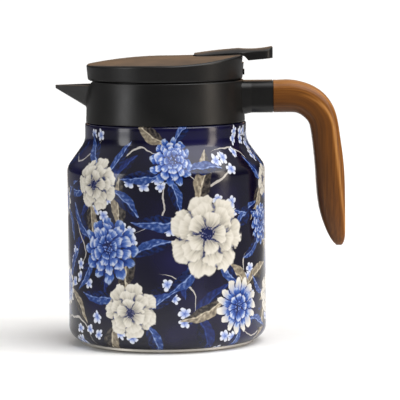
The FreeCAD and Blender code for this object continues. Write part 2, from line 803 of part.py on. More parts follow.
def cover_blank(body, wall):
    """The cover as a solid, moved in by a wall. Its dome falls to the front and to both sides."""
    low, above = d.cover_bottom - wall, d.lever_end_z
    low_radius, high_radius = (
        d.cover_low_radius - wall + (z - d.cover_bottom) * d.cover_flare for z in (low, above))
    turned(body, "blank", [(ZERO, low), (low_radius, low), (high_radius, above), (ZERO, above)])
    beyond, fall = d.body_radius, d.cover_side_fall
    side_bend = (beyond * beyond + fall * fall) / (fall * 2)
    for name, bend, angle in (("rear_crown", -d.cover_rear_bend, 5), ("front_crown", d.cover_front_bend, 15)):
        axis_z = d.cover_crown_z - wall - bend
        dome = outline(sketch_on(body, f"{name}_section", "YZ_Plane", lift=axis_z), [
            (-beyond, bend - fall), (beyond, bend - fall, -side_bend),
            (beyond, above + fall - axis_z), (-beyond, above + fall - axis_z),
        ])
        crown = cut(body, "Groove", name, dome, ReferenceAxis=(dome, ["H_Axis"]), Angle=angle, Reversed=True)
    return crown


def make_lid_cover():
    body = doc.addObject("PartDesign::Body", "cover_outside")
    crown = cover_blank(body, ZERO)

    def outer_rim(edge):
        points = edge.discretize(7)
        flare = [d.cover_low_radius.value + (p.z - d.cover_bottom.value) * d.cover_flare.value for p in points]
        outside = all(abs(math.hypot(p.x, p.y) - r) < 0.05 for p, r in zip(points, flare))
        return outside and min(p.z for p in points) > d.cover_bottom.value + d.cover_tuck.value

    crest = rounded(body, "crest", crown, d.cover_round, outer_rim)

    def lower_rim(edge):
        return all(
            abs(p.z - d.cover_bottom.value) < 0.01
            and abs(math.hypot(p.x, p.y) - d.cover_low_radius.value) < 0.01 for p in edge.discretize(7))

    rounded(body, "tuck", crest, d.cover_tuck, lower_rim)
    nub = sketch_on(body, "nub_section", "YZ_Plane", offset=d.cover_low_radius - d.cover_wall / 2)
    box_outline(nub, ZERO, d.nub_z, d.nub_width, d.nub_height, d.sheet * 2)
    add(body, "Pad", "nub", nub, Length=d.nub_reach - d.cover_low_radius + d.cover_wall / 2)
    slot = lever_plan(sketch_on(body, "slot_plan", "XY_Plane", offset=d.lever_end_z), d.slot_gap)
    cut(body, "Pocket", "lever_slot", slot, Length=d.lever_end_z - d.slot_floor)

    cavity = doc.addObject("PartDesign::Body", "cover_cavity")
    cover_blank(cavity, d.cover_wall)
    cover = doc.addObject("Part::Cut", "lid_cover")
    cover.Label = "lid_cover"
    cover.Base = body
    cover.Tool = cavity
    NODES.append(cover)


def make_thumb_lever():
    body = new_body("thumb_lever")
    spare = d.sheet
    front, end, half = d.lever_front - spare, d.lever_end + spare, d.lever_width / 2 + spare
    edge_tops = (d.lever_front_edge, d.lever_peak_edge, d.lever_end_edge)
    middle_tops = (d.lever_front_top, d.lever_peak_z, d.lever_end_z)
    near, middle, far = (
        outline(sketch_on(body, f"{name}_profile", "XZ_Plane", offset=offset), [
            (front, d.plate_bottom), (d.throat_start, d.plate_bottom),
            (d.throat_start + d.throat_slope, d.throat_z), (d.throat_x, d.throat_z),
            (d.pad_bottom_x, d.pad_bottom_z), (end, d.pad_end_bottom), (end, end_z),
            (d.lever_peak_x, peak_z, -d.lever_hollow), (front, front_z, d.lever_arch),
        ])
        for name, offset, (front_z, peak_z, end_z) in (
            ("near", half, edge_tops), ("middle", ZERO, middle_tops), ("far", -half, edge_tops)))
    add(body, "AdditiveLoft", "blank", near, Sections=[middle, far])
    plan = sketch_on(body, "plan_trim", "XY_Plane", offset=d.lever_end_z + d.sheet)
    lever_plan(plan, ZERO)
    reach = d.body_radius * 2
    box_outline(plan, ZERO, ZERO, reach * 2, reach)
    cut(body, "Pocket", "plan", plan, Length=d.body_radius)
    trimmed = body.Tip

    def top_rim(edge):
        points = edge.discretize(7)
        across = max(p.y for p in points) - min(p.y for p in points)
        ridge = across > 4 and all(abs(p.x - d.lever_peak_x.value) < 0.1 for p in points)
        undersides = [d.plate_bottom.value if p.x < d.throat_start.value else d.throat_z.value for p in points]
        return all(p.z > underside + 1 for p, underside in zip(points, undersides)) and not ridge

    rounded(body, "top_rounding", trimmed, d.lever_top_round, top_rim)

    sink = d.sheet
    boss, splay = d.boss_radius, d.boss_radius + d.web_splay
    web = outline(sketch_on(body, "web_section", "XZ_Plane"), [
        (d.pivot_x - boss, d.pivot_z), (d.pivot_x, d.pivot_z - boss, boss),
        (d.pivot_x + boss, d.pivot_z, boss), (d.pivot_x + splay, d.plate_bottom + sink),
        (d.pivot_x - splay, d.plate_bottom + sink),
    ])
    add(body, "Pad", "web", web, Length=d.boss_width, SideType="Symmetric")
    bump = (d.lift_bump * d.lift_bump + d.lift_rise * d.lift_rise) / (d.lift_rise * 2)
    fork = outline(sketch_on(body, "fork_section", "XZ_Plane"), [
        (d.fork_end, d.fork_bottom), (d.pivot_x - boss, d.fork_bottom),
        (d.pivot_x, d.pivot_z - boss / 2), (d.pivot_x - boss / 2, d.pivot_z),
        (d.fork_gusset_x, d.fork_top), (d.lift_bump, d.fork_top), (-d.lift_bump, d.fork_top, bump),
        (d.fork_end, d.fork_top),
    ])
    add(body, "Pad", "fork", fork, Length=d.fork_width, SideType="Symmetric")
    slot = sketch_on(body, "fork_slot_plan", "XY_Plane", offset=d.pivot_z)
    slot_length = d.fork_slot_end - d.fork_end + sink
    box_outline(slot, d.fork_slot_end - slot_length / 2, ZERO, slot_length, d.fork_slot)
    cut(body, "Pocket", "fork_slot", slot, Length=d.pivot_z - d.fork_bottom + sink)
    hole = circle(sketch_on(body, "pin_hole", "XZ_Plane"), d.pivot_x, d.pivot_z, d.pin_radius + d.pin_play)
    cut(body, "Pocket", "pin_bore", hole, Length=d.body_radius, SideType="Symmetric")


def make_lever_pin():
    body = new_body("lever_pin")
    section = circle(sketch_on(body, "pin_section", "XZ_Plane"), d.pivot_x, d.pivot_z, d.pin_radius)
    add(body, "Pad", "pin", section, Length=(d.post_inner + d.post_thickness) * 2, SideType="Symmetric")


# Pull-up valve

FLANGE_TOP = d.seal_top + d.flange_thickness


def make_valve():
    turned(new_body("valve_stem"), "stem", [
        (ZERO, d.bead_bottom), (d.stem_bead, d.bead_bottom), (d.stem_bead, d.seal_bottom),
        (d.spigot_radius, d.seal_bottom), (d.spigot_radius, d.seal_top), (d.flange_radius, d.seal_top),
        (d.flange_radius, FLANGE_TOP), (d.stem_radius, FLANGE_TOP), (d.stem_radius, d.stem_top),
        (d.stub_radius, d.stem_top), (d.stub_radius, d.stem_top + d.stem_head_height),
        (ZERO, d.stem_top + d.stem_head_height),
    ])
    lip = d.ring_lip
    turned(new_body("valve_seal"), "seal", [
        (d.spigot_radius, d.seal_bottom), (d.seal_radius - lip, d.seal_bottom),
        (d.seal_radius, d.seal_bottom + lip, lip), (d.seal_radius, d.seal_bottom + lip * 1.5),
        (d.flange_radius, d.seal_top), (d.spigot_radius, d.seal_top),
    ])
    edge = d.sheet
    top = d.stem_top + d.stem_head_height
    turned(new_body("stem_head"), "head", [
        (d.stub_radius, d.stem_top), (d.stem_head_radius, d.stem_top), (d.stem_head_radius, top - edge),
        (d.stem_head_radius - edge, top, edge), (d.stub_radius, top),
    ])


def biarc(start, start_way, end, end_way):
    """Two tangent arcs from start to end that leave and arrive along the given directions."""
    span, ways = end - start, start_way + end_way
    turn = 2 * (1 - start_way.dot(end_way))
    along = span.dot(ways)
    reach = (math.sqrt(along ** 2 + turn * span.dot(span)) - along) / turn
    knees = [start + start_way * reach, end - end_way * reach]
    joint = (knees[0] + knees[1]) / 2
    arcs = []
    for first, knee, last in ((start, knees[0], joint), (joint, knees[1], end)):
        middle = (first + last) / 2
        half, height = (last - first).Length / 2, (knee - middle).Length
        sag = half * math.tan(math.atan2(height, half) / 2)
        top = middle + (knee - middle).normalize() * sag
        arcs.append(Part.Arc(first, top, last).toShape())
    return arcs


def make_valve_spring():
    radius, wire = d.spring_radius.value, d.spring_wire.value
    low, high = FLANGE_TOP.value + wire / 2, d.cup_top.value - wire / 2
    turns = int(d.spring_turns.value)
    climb = (high - low) / (2 * math.pi * turns)

    def at(angle):
        return FreeCAD.Vector(radius * math.cos(angle), radius * math.sin(angle), low + climb * angle)

    def way(angle):
        return FreeCAD.Vector(-radius * math.sin(angle), radius * math.cos(angle), climb).normalize()

    angles = [math.pi * half for half in range(2 * turns + 1)]
    arcs = []
    for begin, end in zip(angles, angles[1:]):
        arcs += biarc(at(begin), way(begin), at(end), way(end))
    path = Part.Wire(arcs)
    section = Part.Wire([Part.Circle(at(0), way(0), wire / 2).toShape()])
    spring = doc.addObject("Part::Feature", "valve_spring")
    spring.Label = "valve_spring"
    spring.Shape = path.makePipeShell([section], True, False)
    spring.Placement = FreeCAD.Placement()
    NODES.append(spring)
    points = path.discretize(40 * turns)
    apart = min(
        (points[i] - points[j]).Length
        for i in range(len(points)) for j in range(i + 20, len(points)))
    print(f"valve spring: least gap to itself {apart - wire:.2f} mm")


for make in (
    make_outer_shell, make_inner_liner, make_shell_bottom, make_seal_bead, make_vacuum_getter,
    make_base_cap, make_neck_gasket, make_spout_collar, make_handle_grip, make_handle_fasteners,
    make_stopper_seal, make_stopper_cup, make_mechanism_deck, make_stem_seal, make_lid_cover,
    make_thumb_lever, make_lever_pin, make_valve, make_valve_spring,
):
    make()
doc.recompute()

broken = [item.Label for item in doc.Objects if {"Invalid", "Error"} & set(item.State)]
broken += [node.Label for node in NODES if node.Shape.isNull() or not node.Shape.isValid()]
if broken:
    raise RuntimeError(f"failed: {', '.join(broken)}")
os.makedirs("parts", exist_ok=True)
for node in NODES:
    node.Shape.exportStep(f"parts/{node.Label}.step")
    box = node.Shape.BoundBox
    print(f"{node.Label}: {node.Shape.Volume / 1000:.2f} cm3, {len(node.Shape.Solids)} solid, "
          f"x {box.XMin:.1f} {box.XMax:.1f}, y {box.YMin:.1f} {box.YMax:.1f}, z {box.ZMin:.1f} {box.ZMax:.1f}")
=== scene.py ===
# %% [markdown]
# # Dressing an insulated pouring pot
# The pot is a one-litre vacuum jar with a printed steel shell, a black spout collar, a wooden grip and
# a lid whose thumb lever opens a pouring valve. Its solids come from CAD and are the fixed frame: every
# piece made here sits on them, in metres. Could the whole pot be modelled again here? Yes, but the
# moulded and turned parts are already true in the solids, so only their finishes are made here. Two pieces
# are made again: the jar, because its print needs an even mesh, and the spring, because it shortens.

# %% Load the frame
import json
import math
import random
from collections import namedtuple

import bmesh
import bpy
from mathutils import Matrix, Vector


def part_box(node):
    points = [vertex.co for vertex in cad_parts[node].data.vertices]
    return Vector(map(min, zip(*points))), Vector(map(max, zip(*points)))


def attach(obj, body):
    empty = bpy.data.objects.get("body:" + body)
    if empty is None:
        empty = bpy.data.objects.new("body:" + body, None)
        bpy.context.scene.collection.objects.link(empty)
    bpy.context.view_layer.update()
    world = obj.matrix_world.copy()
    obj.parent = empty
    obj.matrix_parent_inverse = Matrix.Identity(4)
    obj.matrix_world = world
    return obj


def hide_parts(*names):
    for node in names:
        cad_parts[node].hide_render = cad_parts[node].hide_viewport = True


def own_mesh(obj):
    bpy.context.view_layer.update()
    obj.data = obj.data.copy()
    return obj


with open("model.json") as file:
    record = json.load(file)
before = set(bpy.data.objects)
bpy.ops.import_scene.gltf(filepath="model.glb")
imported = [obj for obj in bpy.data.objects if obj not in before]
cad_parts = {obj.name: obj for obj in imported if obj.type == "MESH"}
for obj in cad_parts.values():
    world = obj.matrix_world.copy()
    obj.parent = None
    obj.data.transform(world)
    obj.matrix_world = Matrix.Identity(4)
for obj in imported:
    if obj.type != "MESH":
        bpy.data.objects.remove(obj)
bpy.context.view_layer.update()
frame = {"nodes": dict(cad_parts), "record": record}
NODES = frame["nodes"]
MM = 0.001

# %% [markdown]
# ## Colours and nodes
# Each finish is a node tree. A tree could be clicked together by hand or written one link at a time.
# Here one small function adds a node, sets it and links what feeds it, so that a recipe reads as one
# line per step. Colours are written as a screen shows them and turned to linear light by one function.

# %% Helpers for every finish
def linear(colour):
    """The linear colour of an sRGB hex value such as #7a4a22."""
    channels = [int(colour[place:place + 2], 16) / 255 for place in (1, 3, 5)]
    return [c / 12.92 if c <= 0.04045 else ((c + 0.055) / 1.055) ** 2.4 for c in channels] + [1.0]


def add_node(tree, kind, *inputs, named=None, out=None, stops=(), **settings):
    """Adds a node with its settings. Inputs are linked from a node or socket, or set to a value.
    A colour ramp has stops too, as pairs of place and sRGB hex value."""
    node = tree.nodes.new(f"ShaderNode{kind}")
    for setting, value in settings.items():
        setattr(node, setting, value)
    for number, (place, colour) in enumerate(stops):
        elements = node.color_ramp.elements
        element = elements[number] if number < len(elements) else elements.new(1.0)
        element.position, element.color = place, linear(colour)
    sockets = [socket for socket in node.inputs if socket.enabled]
    pairs = list(zip(sockets, inputs))
    pairs += [(node.inputs[name], value) for name, value in (named or {}).items()]
    for socket, value in pairs:
        if isinstance(value, bpy.types.Node):
            value = next(output for output in value.outputs if output.enabled)
        if isinstance(value, bpy.types.NodeSocket):
            tree.links.new(value, socket)
        else:
            socket.default_value = value
    return node if out is None else node.outputs[out]


def new_finish(name):
    """An empty material and its node tree."""
    material = bpy.data.materials.new(name)
    material.use_nodes = True
    material.node_tree.nodes.clear()
    return material, material.node_tree


def close_finish(tree, **sockets):
    """Ends a tree with a Principled shader. Words of a socket's name are joined by underscores."""
    named = {name.replace("_", " "): value for name, value in sockets.items()}
    shader = add_node(tree, "BsdfPrincipled", named=named)
    add_node(tree, "OutputMaterial", shader)


print("helpers: linear, add_node, new_finish, close_finish")

# %% [markdown]
# ## Camera
# The picture was taken from the side of the pot, a little above the lid, from far away with a long lens,
# so upright edges stay upright. The camera could be placed by eye. Its height is worked out instead from
# how round the rims of the lid and the foot look, and its roll from the slight lean of the jar.

# %% Camera
AIM = Vector((20.4, 0.0, 86.0)) * MM
CAMERA_AT = Vector((20.4, -1800.0, 262.0)) * MM
SEEN_WIDTH = 243.0 * MM
ROLL = math.radians(0.55)

look = AIM - CAMERA_AT
camera_data = bpy.data.cameras.new("camera")
camera_data.sensor_width = 36.0
camera_data.lens = camera_data.sensor_width * look.length / SEEN_WIDTH
camera_data.clip_end = 50.0
camera = bpy.data.objects.new("camera", camera_data)
turn = look.to_track_quat("-Z", "Y").to_matrix().to_4x4() @ Matrix.Rotation(-ROLL, 4, "Z")
camera.matrix_world = Matrix.Translation(CAMERA_AT) @ turn
bpy.context.scene.collection.objects.link(camera)
bpy.context.scene.camera = camera
print(f"camera: {camera_data.lens:.0f} mm lens, {look.length:.2f} m away")

# %% [markdown]
# ## Lamps and room
# Two tall soft boxes left and right draw the upright highlights on the jar and the lid, a wide light high
# on the right whitens the paper under the pot, and a warm light behind brushes the lid's top. The room is
# dim at the height of the pot and bright overhead. An image of a studio could light the scene instead, but
# lamps and a plain room are easier to steer, one highlight at a time.

# %% Lamps and room
def add_lamp(name, kind, at, colour, energy, **settings):
    """A lamp that is aimed at the middle of the pot. Its place is in metres."""
    lamp = bpy.data.lights.new(name, kind)
    lamp.color, lamp.energy = linear(colour)[:3], energy
    for setting, value in settings.items():
        setattr(lamp, setting, value)
    stand = bpy.data.objects.new(name, lamp)
    stand.location = at
    stand.rotation_euler = (AIM - stand.location).to_track_quat("-Z", "Y").to_euler()
    bpy.context.scene.collection.objects.link(stand)


def soft_box(name, bearing, distance, height, size, colour, watts):
    """A rectangular lamp on a bearing from the camera's side of the pot, in degrees to the right."""
    angle = math.radians(bearing)
    at = (distance * math.sin(angle), -distance * math.cos(angle), height)
    width, length = size
    add_lamp(name, "AREA", at, colour, watts, shape="RECTANGLE", size=width, size_y=length)


soft_box("left_soft_box", bearing=-60, distance=1.5, height=0.36,
         size=(0.45, 0.85), colour="#ffffff", watts=6.3)
soft_box("right_soft_box", bearing=70, distance=1.5, height=0.45,
         size=(0.30, 1.1), colour="#fff2e2", watts=6.3)
soft_box("rear_soft_box", bearing=176, distance=1.4, height=0.60,
         size=(1.2, 0.4), colour="#ffc486", watts=1.5)
add_lamp("overhead_light", "SUN", (0.95, -0.55, 1.75), "#ffffff", 2.7, angle=math.radians(60))

DIM, BRIGHT = 0.06, 0.5
world = bpy.data.worlds.new("studio")
bpy.context.scene.world = world
world.use_nodes = True
room = world.node_tree
room.nodes.clear()
upward = add_node(room, "SeparateXYZ", add_node(room, "TexCoord").outputs["Generated"]).outputs["Z"]
glow = add_node(room, "MapRange", upward, 0.15, 0.6, DIM, BRIGHT, interpolation_type="SMOOTHSTEP")
add_node(room, "OutputWorld", add_node(room, "Background", linear("#ffffff"), glow))
bpy.context.scene.view_settings.view_transform = "Standard"
print("studio: a room and four lamps")

# %% [markdown]
# ## Floor
# The pot stands on white paper on a pale grey floor. The paper ends a hand's width in front of the pot and
# beside it, and widens to the back, so that the glossy jar mirrors the grey floor and its print stays
# clear. Paper and floor could be two sheets. One plane, whose colour drifts from white to grey, shows no
# edge between them.

# %% Floor
PAPER_FRONT, GREY_FRONT = -0.24, -0.36
PAPER_SIDE, GREY_SIDE, PAPER_SPREAD = 0.15, 0.30, 0.08
FLOOR_REACH, FLOOR_DROP = 14.0, 0.2 * MM
CLOUDS_PER_METRE = 60.0
DRIFT = {"interpolation_type": "SMOOTHSTEP"}


def paper_finish(name):
    """Matt white paper with faint clouds of fibre, which drifts to grey in front of the pot and beside it."""
    material, tree = new_finish(name)
    here = add_node(tree, "TexCoord").outputs["Object"]
    fibre = add_node(tree, "TexNoise", here, named={"Scale": CLOUDS_PER_METRE, "Detail": 3.0}, out="Fac")
    paper = add_node(tree, "ValToRGB", fibre, stops=[(0.3, "#fafaf9"), (0.7, "#fdfdfc")])
    place = add_node(tree, "SeparateXYZ", here)
    depth = place.outputs["Y"]
    before = add_node(tree, "MapRange", depth, PAPER_FRONT, GREY_FRONT, 0.0, 1.0, **DRIFT)
    sideways = add_node(tree, "Math", place.outputs["X"], AIM.x, operation="SUBTRACT")
    sideways = add_node(tree, "Math", sideways, operation="ABSOLUTE")
    sideways = add_node(tree, "Math", depth, -PAPER_SPREAD, sideways, operation="MULTIPLY_ADD")
    beside = add_node(tree, "MapRange", sideways, PAPER_SIDE, GREY_SIDE, 0.0, 1.0, **DRIFT)
    greyed = add_node(tree, "Math", before, beside, operation="MAXIMUM")
    close_finish(
        tree,
        Base_Color=add_node(tree, "Mix", greyed, paper, linear("#8a8a8a"), data_type="RGBA"),
        Roughness=0.9,
    )
    return material


quarters = ((-1, -1), (1, -1), (1, 1), (-1, 1))
corners = [(x * FLOOR_REACH, y * FLOOR_REACH, -FLOOR_DROP) for x, y in quarters]
floor_mesh = bpy.data.meshes.new("floor")
floor_mesh.from_pydata(corners, [], [(0, 1, 2, 3)])
floor_mesh.materials.append(paper_finish("matt_white_paper"))
floor = bpy.data.objects.new("floor", floor_mesh)
bpy.context.scene.collection.objects.link(floor)
print(f"floor: {2 * FLOOR_REACH:.0f} m square")

# %% [markdown]
# ## Black plastic
# Collar, lid and lever are moulded polypropylene, dyed black. The mould is spark eroded, which leaves a
# fine grain that breaks the highlight into a satin sheen. The grain could be modelled, but at a quarter of
# a millimetre it is far finer than a pixel, so it is bump, drawn about three times as coarse as it is.

# %% Spark-eroded polypropylene
def plastic_finish(name, dark, pale, roughness):
    """Satin plastic: the fine bump of the mould, and a sheen that drifts a little from place to place."""
    material, tree = new_finish(name)
    place = add_node(tree, "TexCoord").outputs["Object"]
    grain = add_node(tree, "TexNoise", place, named={"Scale": 1 / (0.8 * MM), "Detail": 2.0}, out="Fac")
    cloud = add_node(tree, "TexNoise", place, named={"Scale": 1 / (22 * MM), "Detail": 3.0}, out="Fac")
    close_finish(
        tree,
        Base_Color=add_node(tree, "ValToRGB", cloud, stops=[(0.35, dark), (0.65, pale)]),
        Roughness=add_node(tree, "MapRange", cloud, 0.3, 0.7, roughness - 0.05, roughness + 0.05),
        Specular_IOR_Level=0.42,
        Normal=add_node(tree, "Bump", named={"Height": grain, "Strength": 0.18, "Distance": 0.1 * MM}),
    )
    return material


black_plastic = plastic_finish("spark_eroded_polypropylene", "#090808", "#0d0c0b", 0.37)
print("finish:", black_plastic.name)

# %% [markdown]
# ## Wooden grip: the bend
# The grip is a bent stick of hardwood, and its grain follows the curve. A plain noise would run straight
# through the bend. A map could be unwrapped by hand, but the bend is one round arc between two straight ends.
# So the shader unrolls it with a little geometry: the start, the bend and the leg become one straight stick.
# A pale line down each side of the leg is a painted highlight, standing in for the light on the grip's
# rounded edge.

# %% Unroll the grip
BEND_X, BEND_Z, BEND_RADIUS = 75.3 * MM, 127.7 * MM, 21.2 * MM
# Where the painted highlight runs: its height over the bend's centre, its lean along the leg, and its width
HIGHLIGHT_HEIGHT, HIGHLIGHT_LEAN, HIGHLIGHT_WIDTH = BEND_RADIUS + 1.6 * MM, 0.11, 1.8 * MM


def unroll_grip(tree):
    """A point's place in the straightened grip: across it, outward from the bend's centre, and along it."""
    place = add_node(tree, "SeparateXYZ", add_node(tree, "TexCoord").outputs["Object"])
    east = add_node(tree, "Math", place.outputs["X"], BEND_X, operation="SUBTRACT")
    north = add_node(tree, "Math", place.outputs["Z"], BEND_Z, operation="SUBTRACT")
    past_start = add_node(tree, "Math", east, 0.0, operation="MAXIMUM")
    above_leg = add_node(tree, "Math", north, 0.0, operation="MAXIMUM")
    bend = add_node(tree, "Math", past_start, above_leg, operation="ARCTAN2")
    start = add_node(tree, "Math", east, 0.0, operation="MINIMUM")
    leg = add_node(tree, "Math", north, 0.0, operation="MINIMUM")
    straight = add_node(tree, "Math", start, leg, operation="SUBTRACT")
    along = add_node(tree, "Math", bend, BEND_RADIUS, straight, operation="MULTIPLY_ADD")
    outward = add_node(tree, "CombineXYZ", past_start, above_leg)
    height = add_node(tree, "VectorMath", outward, operation="LENGTH", out="Value")
    return place.outputs["Y"], height, along


def painted_ridge_highlight(tree, height, along):
    """How much paler the wood is painted near the ridge: a painted highlight, which begins in the bend."""
    highlight_at = add_node(tree, "Math", along, HIGHLIGHT_LEAN, HIGHLIGHT_HEIGHT, operation="MULTIPLY_ADD")
    aside = add_node(tree, "Math", height, highlight_at, operation="SUBTRACT")
    aside = add_node(tree, "Math", aside, operation="ABSOLUTE")
    painted_highlight = add_node(tree, "MapRange", aside, 0.0, HIGHLIGHT_WIDTH, 0.42, 0.0, interpolation_type="SMOOTHSTEP")
    begun = add_node(tree, "MapRange", along, 4 * MM, 18 * MM, 0.0, 1.0)
    return add_node(tree, "Math", painted_highlight, begun, operation="MULTIPLY")


print(f"grip: bend of {BEND_RADIUS / MM:.1f} mm")

# %% [markdown]
# ## Wooden grip: the wood
# The stick's outer side, the top of the start and the outside of the bend and leg, is painted paler and its
# inner side darker: a painted highlight and painted shade.
# An image of wood could be wrapped round it. Three noises are drawn out along the stick instead, for bands,
# streaks and pores, because they follow the bend without a seam. A thin lacquer gives it a soft shine.

# %% Lacquered hardwood
def wood_grain(tree, stick, width, length, detail, twist):
    """A noise drawn out along the stick. Width and length are in mm."""
    scale = (1 / (width * MM), 1 / (width * MM), 1 / (length * MM))
    stretched = add_node(tree, "VectorMath", stick, scale, operation="MULTIPLY")
    figure = {"Scale": 1.0, "Detail": detail, "Distortion": twist}
    return add_node(tree, "TexNoise", stretched, named=figure, out="Fac")


def wood_finish(name):
    """Broad bands, fine streaks and dark pores; a painted highlight outside and on the ridge, painted shade
    inside, and darker down the leg.
    """
    material, tree = new_finish(name)
    across, height, along = unroll_grip(tree)
    stick = add_node(tree, "CombineXYZ", across, height, along)
    bands = wood_grain(tree, stick, 5.0, 120.0, 2.0, 0.6)
    streaks = wood_grain(tree, stick, 1.0, 45.0, 4.0, 0.3)
    pores = wood_grain(tree, stick, 0.55, 9.0, 1.0, 0.0)
    mixed = add_node(tree, "Math", bands, 0.55, streaks, operation="MULTIPLY_ADD")
    tone = add_node(tree, "MapRange", mixed, 0.45, 1.15, 0.1, 0.6)
    # Painted highlight and shade: paler towards the stick's outer side, darker towards its inner side
    inside, outside = BEND_RADIUS - 6 * MM, BEND_RADIUS + 10 * MM
    painted_side_light = add_node(tree, "MapRange", height, inside, outside, -0.12, 0.38)
    down_leg = add_node(tree, "MapRange", along, 20 * MM, 90 * MM, 0.06, -0.28)
    # Painted highlight and shade across the stick, darker down the leg, and the painted highlight on the
    # ridge
    for change in (painted_side_light, down_leg, painted_ridge_highlight(tree, height, along)):
        tone = add_node(tree, "Math", tone, change, operation="ADD")
    wood = add_node(tree, "ValToRGB", tone, stops=[
        (0.0, "#452811"), (0.25, "#593516"), (0.5, "#724317"), (0.72, "#905a24"), (1.0, "#bb8348"),
    ])
    pore_lines = add_node(tree, "MapRange", pores, 0.60, 0.72, 0.0, 0.35)
    close_finish(
        tree,
        Base_Color=add_node(tree, "Mix", pore_lines, wood, linear("#4a2a14"), data_type="RGBA"),
        Roughness=add_node(tree, "MapRange", streaks, 0.3, 0.7, 0.42, 0.50),
        Specular_IOR_Level=0.12,
        Coat_Weight=0.3,
        Coat_Roughness=0.25,
        Normal=add_node(tree, "Bump", named={"Height": streaks, "Strength": 0.12, "Distance": 0.2 * MM}),
    )
    return material


grip_wood = wood_finish("lacquered_hardwood")
print("finish:", grip_wood.name)

# %% [markdown]
# ## Metals and rubber
# The foot, the liner and the small fasteners are stainless sheet, turned against an abrasive belt, so fine
# lines run round the axis. They are drawn a few times as coarse as they are, or they wouldn't show. The
# seals are moulded silicone, grey and slightly cloudy. The insert is turned brass. Each could be one colour,
# but bare metal only looks like metal when its roughness varies.

# %% Turned metal and silicone
def turned_metal(name, dark, pale, roughness, line):
    """Bare metal with fine lines that run round the upright axis. line is their spacing in mm."""
    material, tree = new_finish(name)
    place = add_node(tree, "SeparateXYZ", add_node(tree, "TexCoord").outputs["Object"])
    flat = add_node(tree, "CombineXYZ", place.outputs["X"], place.outputs["Y"])
    radius = add_node(tree, "VectorMath", flat, operation="LENGTH", out="Value")
    section = add_node(tree, "CombineXYZ", radius, place.outputs["Z"])
    lines = add_node(tree, "TexNoise", section, named={"Scale": 1 / (line * MM), "Detail": 3.0}, out="Fac")
    close_finish(
        tree,
        Base_Color=add_node(tree, "ValToRGB", lines, stops=[(0.3, dark), (0.7, pale)]),
        Metallic=1.0,
        Roughness=add_node(tree, "MapRange", lines, 0.3, 0.7, roughness - 0.06, roughness + 0.06),
        Normal=add_node(tree, "Bump", named={"Height": lines, "Strength": 0.1, "Distance": 0.05 * MM}),
    )
    return material


def rubber_finish(name, dark, pale):
    """Matt silicone with soft clouds a few millimetres wide."""
    material, tree = new_finish(name)
    place = add_node(tree, "TexCoord").outputs["Object"]
    cloud = add_node(tree, "TexNoise", place, named={"Scale": 1 / (3 * MM), "Detail": 3.0}, out="Fac")
    close_finish(
        tree,
        Base_Color=add_node(tree, "ValToRGB", cloud, stops=[(0.3, dark), (0.7, pale)]),
        Roughness=add_node(tree, "MapRange", cloud, 0.3, 0.7, 0.5, 0.62),
        IOR=1.41,
    )
    return material


FINISHES = {
    "black_plastic": black_plastic,
    "grip_wood": grip_wood,
    "bare_steel": turned_metal("belt_ground_stainless_steel", "#b8b2a8", "#d8d3ca", 0.34, 0.5),
    "spring_steel": turned_metal("drawn_stainless_wire", "#a9a9a9", "#c9c9c8", 0.28, 0.3),
    "brass_insert": turned_metal("turned_brass", "#b08a3e", "#cfa85a", 0.3, 0.4),
    "getter_metal": turned_metal("pressed_nickel", "#9b9a96", "#b9b8b2", 0.42, 0.6),
    "silicone": rubber_finish("moulded_silicone", "#a5a29a", "#b8b5ad"),
}
print("finishes:", ", ".join(sorted(FINISHES)))

# %% [markdown]
# ## Give the solids their finishes
# The CAD solids come in as fine flat triangles. They could be remodelled, but their shapes are right, so a
# modifier shades them smooth wherever two faces meet at a shallow angle and keeps the true edges crisp.

# %% Smooth shading and finishes on the CAD nodes
def shallow_edge_shading(angle):
    """A geometry node group that shades faces smooth and keeps edges over the angle sharp."""
    group = bpy.data.node_groups.new("shade_shallow_edges", "GeometryNodeTree")
    for way in ("INPUT", "OUTPUT"):
        group.interface.new_socket("Geometry", in_out=way, socket_type="NodeSocketGeometry")
    start, end = group.nodes.new("NodeGroupInput"), group.nodes.new("NodeGroupOutput")
    faces, edges = (group.nodes.new("GeometryNodeSetShadeSmooth") for _ in range(2))
    faces.domain, edges.domain = "FACE", "EDGE"
    bend = group.nodes.new("GeometryNodeInputMeshEdgeAngle")
    shallow = group.nodes.new("FunctionNodeCompare")
    shallow.operation = "LESS_EQUAL"
    shallow.inputs[1].default_value = angle
    for source, target in (
        (start.outputs[0], faces.inputs[0]), (faces.outputs[0], edges.inputs[0]),
        (bend.outputs[0], shallow.inputs[0]), (shallow.outputs[0], edges.inputs["Shade Smooth"]),
        (edges.outputs[0], end.inputs[0]),
    ):
        group.links.new(source, target)
    return group


soft_shading = shallow_edge_shading(math.radians(32))
node_slots = {part["node"]: part["material_slot"] for part in frame["record"]["subparts"]}
for name, node in NODES.items():
    node.modifiers.new("shading", "NODES").node_group = soft_shading
    finish = FINISHES.get(node_slots[name])
    if finish:
        node.data.materials.clear()
        node.data.materials.append(finish)
print(f"finished {len(NODES)} CAD nodes")

# %% [markdown]
# ## Valve spring
# A coil of stainless wire inside the stopper pushes the valve shut. As the valve lifts, the coil's foot goes
# up with it and the turns close up. A rigid coil would be pierced by the valve. So the coil is wound again
# here, as a tube along a helix between the same seats, and attached to the lid.

# %% Wind the spring
WIRE_RADIUS, COIL_RADIUS, TURNS = 0.4 * MM, 7.2 * MM, 5
STEPS, SIDES = 36, 10
UP = Vector((0.0, 0.0, 1.0))


